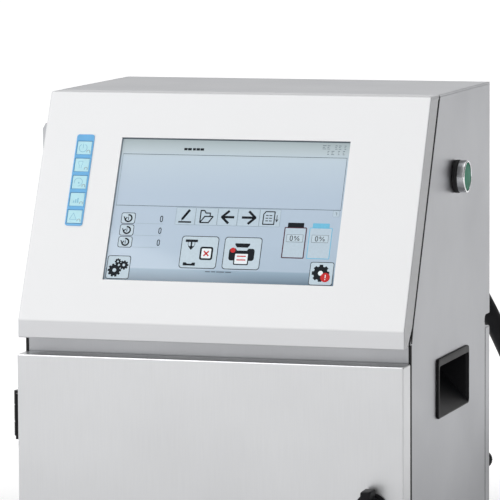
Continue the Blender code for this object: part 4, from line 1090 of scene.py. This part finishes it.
def draw_screen():
    page = Print(SCREEN_LOW[0], SCREEN_HIGH[1], GLASS_TOP, INKS)
    # Painted shadow: a dark line along the display's top edge and a softer one down its left edge stand for the shade
    # of the face's cut-out falling on the sunken screen.
    page.rect(0.0, 0.0, 221.4, 0.9, "line")
    page.rect(0.0, 0.0, 0.8, 140.9, "soft")
    page.rect(2.6, 15.5, 219.6, 15.95, "line")
    page.rect(2.6, 66.6, 219.6, 67.05, "line")
    page.rect(2.4, 15.5, 2.8, 67.1, "soft")
    page.rect(219.2, 15.5, 219.6, 67.1, "line")
    for start, wide in ((61.5, 3.2), (65.2, 3.6), (70.0, 2.8), (73.4, 3.4), (77.3, 3.5)):
        page.rect(start, 8.8, start + wide, 11.1, "dark")
    for v, marks in ((5.6, ((195, 3.2), (199.4, 2.6), (207, 2.0), (210.5, 2.2), (215.8, 1.6))),
                     (11.0, ((200, 1.6), (203.8, 2.6), (210.2, 1.4), (214.8, 1.8)))):
        for u, wide in marks:
            page.line([(u, v - 1.7), (u + wide, v - 1.7)], 0.5, "line")
            page.line([(u, v - 0.1), (u + wide * 0.6, v - 0.1)], 0.45, "line")
            page.line([(u, v + 1.5), (u + wide, v + 1.5)], 0.45, "line")
    edges = (62.1, 81.1, 102.5, 121.8, 142.9, 162.9)
    for left, right_edge in zip(edges, edges[1:]):
        page.framed(left, 67.6, right_edge, 84.6, 0.35, "soft", "pale", 0, 0.6)
    page.line([(68.8, 78.9), (74.8, 70.2)], 2.4, "dark", 2)
    page.line([(68.1, 80.3), (68.9, 78.6)], 0.9, "dark", 2)
    page.rect(65.2, 81.1, 77.6, 82.6, "dark", 2)
    page.line([(86.0, 81.6), (86.0, 70.2), (89.4, 70.2), (91.0, 72.6), (95.2, 72.6), (95.2, 75.2)], 1.15, "dark", 2)
    page.line([(86.0, 82.0), (94.2, 82.0), (98.2, 75.9), (90.2, 75.9), (86.0, 82.0)], 1.15, "dark", 2)
    for tip, tail, wing in ((106.8, 118.2, 6.4), (139.0, 126.4, -6.4)):
        page.line([(tail, 76.1), (tip + wing * 0.15, 76.1)], 2.3, "dark", 2)
        page.line([(tip + wing, 70.2), (tip, 76.1), (tip + wing, 82.0)], 2.3, "dark", 2)
    page.line([(148.6, 69.8), (157.2, 69.8), (157.2, 82.2),
               (146.6, 82.2), (146.6, 72.4), (148.6, 69.8)], 1.0, "dark", 2)
    for v in (73.6, 76.2, 78.8):
        page.line([(149.0, v), (151.2, v)], 0.8, "dark", 2)
        page.line([(152.4, v), (154.8, v)], 0.8, "dark", 2)
    page.line([(159.6, 73.2), (159.6, 79.0)], 0.6, "dark", 2)
    page.line([(158.5, 77.2), (159.6, 79.6), (160.7, 77.2)], 0.6, "dark", 2)
    page.framed(212.4, 67.4, 218.6, 73.4, 0.25, "soft", "pale", 0, 0.8)
    page.line([(214.8, 69.3), (216.0, 69.3), (216.0, 71.8)], 0.4, "line", 2)

    for top in (74.0, 85.7, 97.4):
        page.framed(9.3, top, 23.1, top + 10.9, 0.55, "dark", "tile", 0, 2.0)
        v = top + 5.5
        page.bow(16.4, v, 3.3, 1.4, -95, 170, "dark", 2)
        page.line([(12.0, v - 1.4), (13.3, v + 1.2), (15.0, v - 0.8)], 1.0, "dark", 2)
        page.rect(16.0, v - 1.6, 16.8, v + 1.6, "line", 2)
        page.rect(24.3, top + 10.2, 50.7, top + 10.5, "soft")
        page.zero(48.6, top + 5.4, 2.1, 5.4, 0.75, "dark")

    page.framed(71.1, 95.3, 107.1, 126.9, 0.65, "dark", "tile", 0, 3.0)
    page.rect(75.0, 98.9, 86.7, 101.3, "dark", 2)
    page.line([(77.6, 101.3), (77.6, 104.0), (78.6, 105.4)], 0.5, "line", 2)
    page.line([(84.1, 101.3), (84.1, 104.0), (83.1, 105.4)], 0.5, "line", 2)
    page.rect(80.1, 101.3, 81.6, 106.4, "dark", 2)
    page.shape([(77.8, 105.4), (83.9, 105.4), (80.85, 109.1)], "dark", 2)
    page.shape([(75.0, 124.3), (75.0, 121.3), (77.6, 121.3), (79.0, 122.5),
                (82.8, 122.5), (84.2, 121.3), (86.7, 121.3),
                (86.7, 124.3)], "dark", 2)
    page.framed(89.9, 105.6, 102.5, 118.5, 1.7, "dark", "white", 2, 2.0)
    for points in (((94.0, 110.0), (98.4, 114.4)), ((98.4, 110.0), (94.0, 114.4))):
        page.line(points, 1.3, "red", 4)

    page.framed(112.6, 95.3, 148.6, 126.9, 0.65, "dark", "tile", 0, 3.0)
    page.shape([(123.2, 101.4), (137.2, 101.4), (137.2, 103.0),
                (134.4, 106.6), (126.0, 106.6), (123.2, 103.0)], "dark", 2)
    page.rect(118.0, 106.4, 142.4, 118.2, "dark", 2, 2.4)
    page.shape([(123.4, 105.4), (125.4, 108.4), (135.0, 108.4), (137.0, 105.4)], "tile", 3)
    page.rect(123.2, 110.6, 137.4, 122.4, "dark", 3, 1.0)
    page.rect(124.2, 111.6, 136.4, 121.4, "white", 4, 0.6)
    page.rect(126.0, 113.4, 134.6, 114.5, "red", 5)
    page.rect(126.0, 117.0, 134.6, 118.1, "red", 5)
    page.disc(121.5, 108.2, 2.5, "red", 4)

    for cap_left, cap_right, left, right_edge, ink, box_left, box_right in (
            (171.0, 186.4, 168.1, 189.6, "dark", 171.0, 186.9), (194.7, 210.7, 192.1, 213.9, "blue", 195.0, 211.0)):
        page.rect(cap_left, 80.0, cap_right, 84.5, ink, 0, 0.6)
        page.framed(left, 84.3, right_edge, 114.6, 1.0 if ink == "dark" else 0.7,
                    "plum" if ink == "dark" else ink, "pale", 0, 1.0)
        page.framed(box_left, 91.4, box_right, 98.8, 0.3, "line", "tile", 2, 0.3)
        middle = (box_left + box_right) / 2
        page.zero(middle - 3.2, 95.1, 2.2, 4.4, 0.65, "dark", 4)
        page.line([(middle + 0.4, 97.3), (middle + 3.6, 92.9)], 0.55, "dark", 4)
        page.zero(middle + 0.3, 94.0, 1.2, 1.8, 0.5, "dark", 4)
        page.zero(middle + 3.7, 96.3, 1.2, 1.8, 0.5, "dark", 4)

    page.framed(1.7, 116.4, 24.3, 139.3, 0.6, "dark", "tile", 0, 2.2)
    page.gear(9.6, 130.8, 6.6, 10, "dark", "tile", 2)
    page.gear(18.1, 125.6, 4.6, 9, "dark", "tile", 2)
    page.gear(12.0, 122.3, 3.1, 8, "dark", "tile", 2)
    page.framed(196.9, 117.4, 219.6, 140.0, 0.6, "dark", "tile", 0, 2.2)
    page.gear(207.5, 128.2, 8.4, 8, "dark", "white", 2)
    page.disc(212.3, 132.2, 4.5, "red", 4)
    page.rect(211.9, 129.6, 212.7, 132.9, "white", 5)
    page.disc(212.3, 134.3, 0.5, "white", 5)
    for u, wide in ((97.4, 4.6), (103.2, 3.8), (108.2, 7.4), (116.8, 5.6)):
        page.rect(u, 129.3, u + wide, 130.2, "line")
    piece("display_graphics", page.form, [INKS[name] for name in page.inks], angle=20)


def draw_keys():
    """A faint pictogram and a small round mark on each key, riding with the key."""
    inks = {"mark": paint("key_mark", (0.27, 0.55, 0.70)), "grey": paint("key_mark_grey", (0.34, 0.42, 0.46))}
    for name in ("key_power", "key_nozzle", "key_jet", "key_level", "key_warning"):
        low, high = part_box(name)
        middle = FACE.inverted() @ ((low + high) / 2)
        page = Print(middle.x, middle.y, 0.0005, inks)
        if name == "key_power":
            page.bow(-1.2, 0.2, 3.9, 0.55, -60, 240, "mark", 0, 20)
            page.line([(-1.2, -3.9), (-1.2, 0.2)], 0.55, "mark")
        elif name == "key_nozzle":
            page.line([(-3.4, -3.6), (0.6, -3.6), (0.6, -1.2), (-0.4, 0.6), (-0.4, 3.4)], 0.4, "mark")
            page.line([(-3.4, -3.6), (-3.4, -1.2), (-2.4, 0.6), (-2.4, 3.4)], 0.4, "mark")
        elif name == "key_jet":
            page.bow(-1.2, 0.0, 4.0, 0.5, -200, 90, "mark", 0, 20)
            page.disc(-0.6, 0.8, 0.8, "mark")
        elif name == "key_level":
            for u, tall in ((-3.6, 2.0), (-1.6, 3.4), (0.4, 4.8)):
                page.rect(u, 3.4 - tall, u + 1.2, 3.4, "mark")
        else:
            page.line([(-1.4, -3.6), (2.0, 2.8), (-4.8, 2.8), (-1.4, -3.6)], 0.5, "mark")
        page.bow(4.4, 3.8, 1.5, 0.5, 150, 400, "grey", 1, 12)
        piece(name + "_mark", page.form, [inks[key] for key in page.inks], name, angle=20)


def keypad_overlay():
    """The blue membrane between the keys, with rounded corners, on a white backing."""
    left, right_edge, top_edge, foot, rail, corner = 0.05, 17.15, 0.05, 90.95, 1.3, 2.4
    first, cell, pitch = 6.5, 13.76, 17.16
    last = first + 4 * pitch + cell
    form = bmesh.new()

    def slab(points, low, high):
        add_loft(form, [[FACE @ Vector((KEYPAD_LOW[0] + u / 1000, KEYPAD_HIGH[1] - v / 1000, z)) for u, v in points]
                        for z in (low, high)])

    def band(u0, v0, u1, v1):
        slab([(u0, v0), (u1, v0), (u1, v1), (u0, v1)], -0.0008, 0.0007)

    arc = [(corner - corner * math.sin(math.radians(15 * k)), corner - corner * math.cos(math.radians(15 * k)))
           for k in range(7)]
    crown = [(left + u, top_edge + v) for u, v in arc[::-1]] + [(right_edge - u, top_edge + v) for u, v in arc]
    slab(crown + [(right_edge, first), (left, first)], -0.0008, 0.0007)
    base = [(u, foot + top_edge - v) for u, v in crown]
    slab(base[::-1] + [(left, last), (right_edge, last)], -0.0008, 0.0007)
    band(left, first, rail, last)
    band(17.2 - rail, first, right_edge, last)
    for index in range(4):
        band(rail, first + cell + index * pitch, 17.2 - rail, first + (index + 1) * pitch)
    piece("keypad_overlay", form, KEY_BLUE, replaces=["keypad_frame"])
    form = bmesh.new()
    for u in (0.0, 14.2):
        for v in (0.0, 88.0):
            slab([(u - 0.25, v - 0.25), (u + 3.25, v - 0.25), (u + 3.25, v + 3.25), (u - 0.25, v + 3.25)],
                 -0.0008, -0.00006)
    piece("keypad_backing", form, WHITE_COAT)


draw_screen()
draw_keys()
keypad_overlay()

# ---------------------------------------------------------------- floor, light, and what the camera sees
floor_form = bmesh.new()
bmesh.ops.create_circle(floor_form, cap_ends=True, segments=96, radius=40, matrix=Matrix.Translation((0, 0, -0.0002)))
floor_mesh = bpy.data.meshes.new("floor")
floor_form.to_mesh(floor_mesh)
floor_form.free()
# Painted shade and glow: the floor is painted grey and unlit within about half a metre of the object. This darkens
# the reflections and bounce light on the cabinet. Further away the floor grows whiter and glows.
floor_finish = Finish("floor_painted_shade_and_glow", (0.93, 0.93, 0.93), 0.9)
length_of = floor_finish.nodes.new("ShaderNodeVectorMath")
length_of.operation = "LENGTH"
floor_finish.links.new(floor_finish.place, length_of.inputs[0])
away = floor_finish.span(length_of.outputs["Value"], 0, 1, 0.50, 1.30)
floor_finish.to(floor_finish.ramp(away, (0, (0.72, 0.72, 0.73)), (1, (0.93, 0.93, 0.93))), "Base Color")
floor_finish.shader.inputs["Emission Color"].default_value = (1, 1, 1, 1)
floor_finish.to(floor_finish.span(away, 0.0, 0.42, 0, 1), "Emission Strength")
floor_finish.bump(floor_finish.noise(60), 0.03, 0.0002)
floor_mesh.materials.append(floor_finish.material)
floor = bpy.data.objects.new("floor", floor_mesh)
bpy.context.scene.collection.objects.link(floor)
floor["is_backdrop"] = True

world = bpy.data.worlds.new("studio")
bpy.context.scene.world = world
world.use_nodes = True
nodes, links = world.node_tree.nodes, world.node_tree.links
facing = nodes.new("ShaderNodeTexCoord").outputs["Generated"]
toward = nodes.new("ShaderNodeVectorMath")
toward.operation = "DOT_PRODUCT"
toward.inputs[1].default_value = (1.0, 0.0, 0.0)
links.new(facing, toward.inputs[0])
sideways = nodes.new("ShaderNodeMapRange")
for key, value in (("From Min", 0.06), ("From Max", 0.36), ("To Min", 1.0), ("To Max", 0.16)):
    sideways.inputs[key].default_value = value
sideways.interpolation_type = "SMOOTHSTEP"
links.new(toward.outputs["Value"], sideways.inputs["Value"])
links.new(sideways.outputs["Result"], nodes["Background"].inputs["Strength"])
nodes["Background"].inputs["Color"].default_value = (1, 1, 1, 1)


def soft_light(name, position, aim, size, power):
    data = bpy.data.lights.new(name, "AREA")
    data.shape = "RECTANGLE"
    data.size, data.size_y = size
    data.energy = power
    lamp = bpy.data.objects.new(name, data)
    lamp.location = position
    lamp.rotation_euler = (Vector(aim) - Vector(position)).to_track_quat("-Z", "Y").to_euler()
    bpy.context.scene.collection.objects.link(lamp)


soft_light("key", (-1.4, -2.4, 2.0), (0, 0, 0.35), (1.6, 1.2), 17.5)
soft_light("top", (0.2, 0.3, 2.4), (0, 0, 0.4), (1.4, 1.4), 6)
soft_light("rim", (1.0, 1.3, 0.6), (0.2, 0.1, 0.3), (0.8, 0.8), 0.45)
bpy.context.scene.view_settings.view_transform = "Standard"

size = {"cad": [list(corner) for corner in cad_box], "visual": [list(corner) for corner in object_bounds()]}
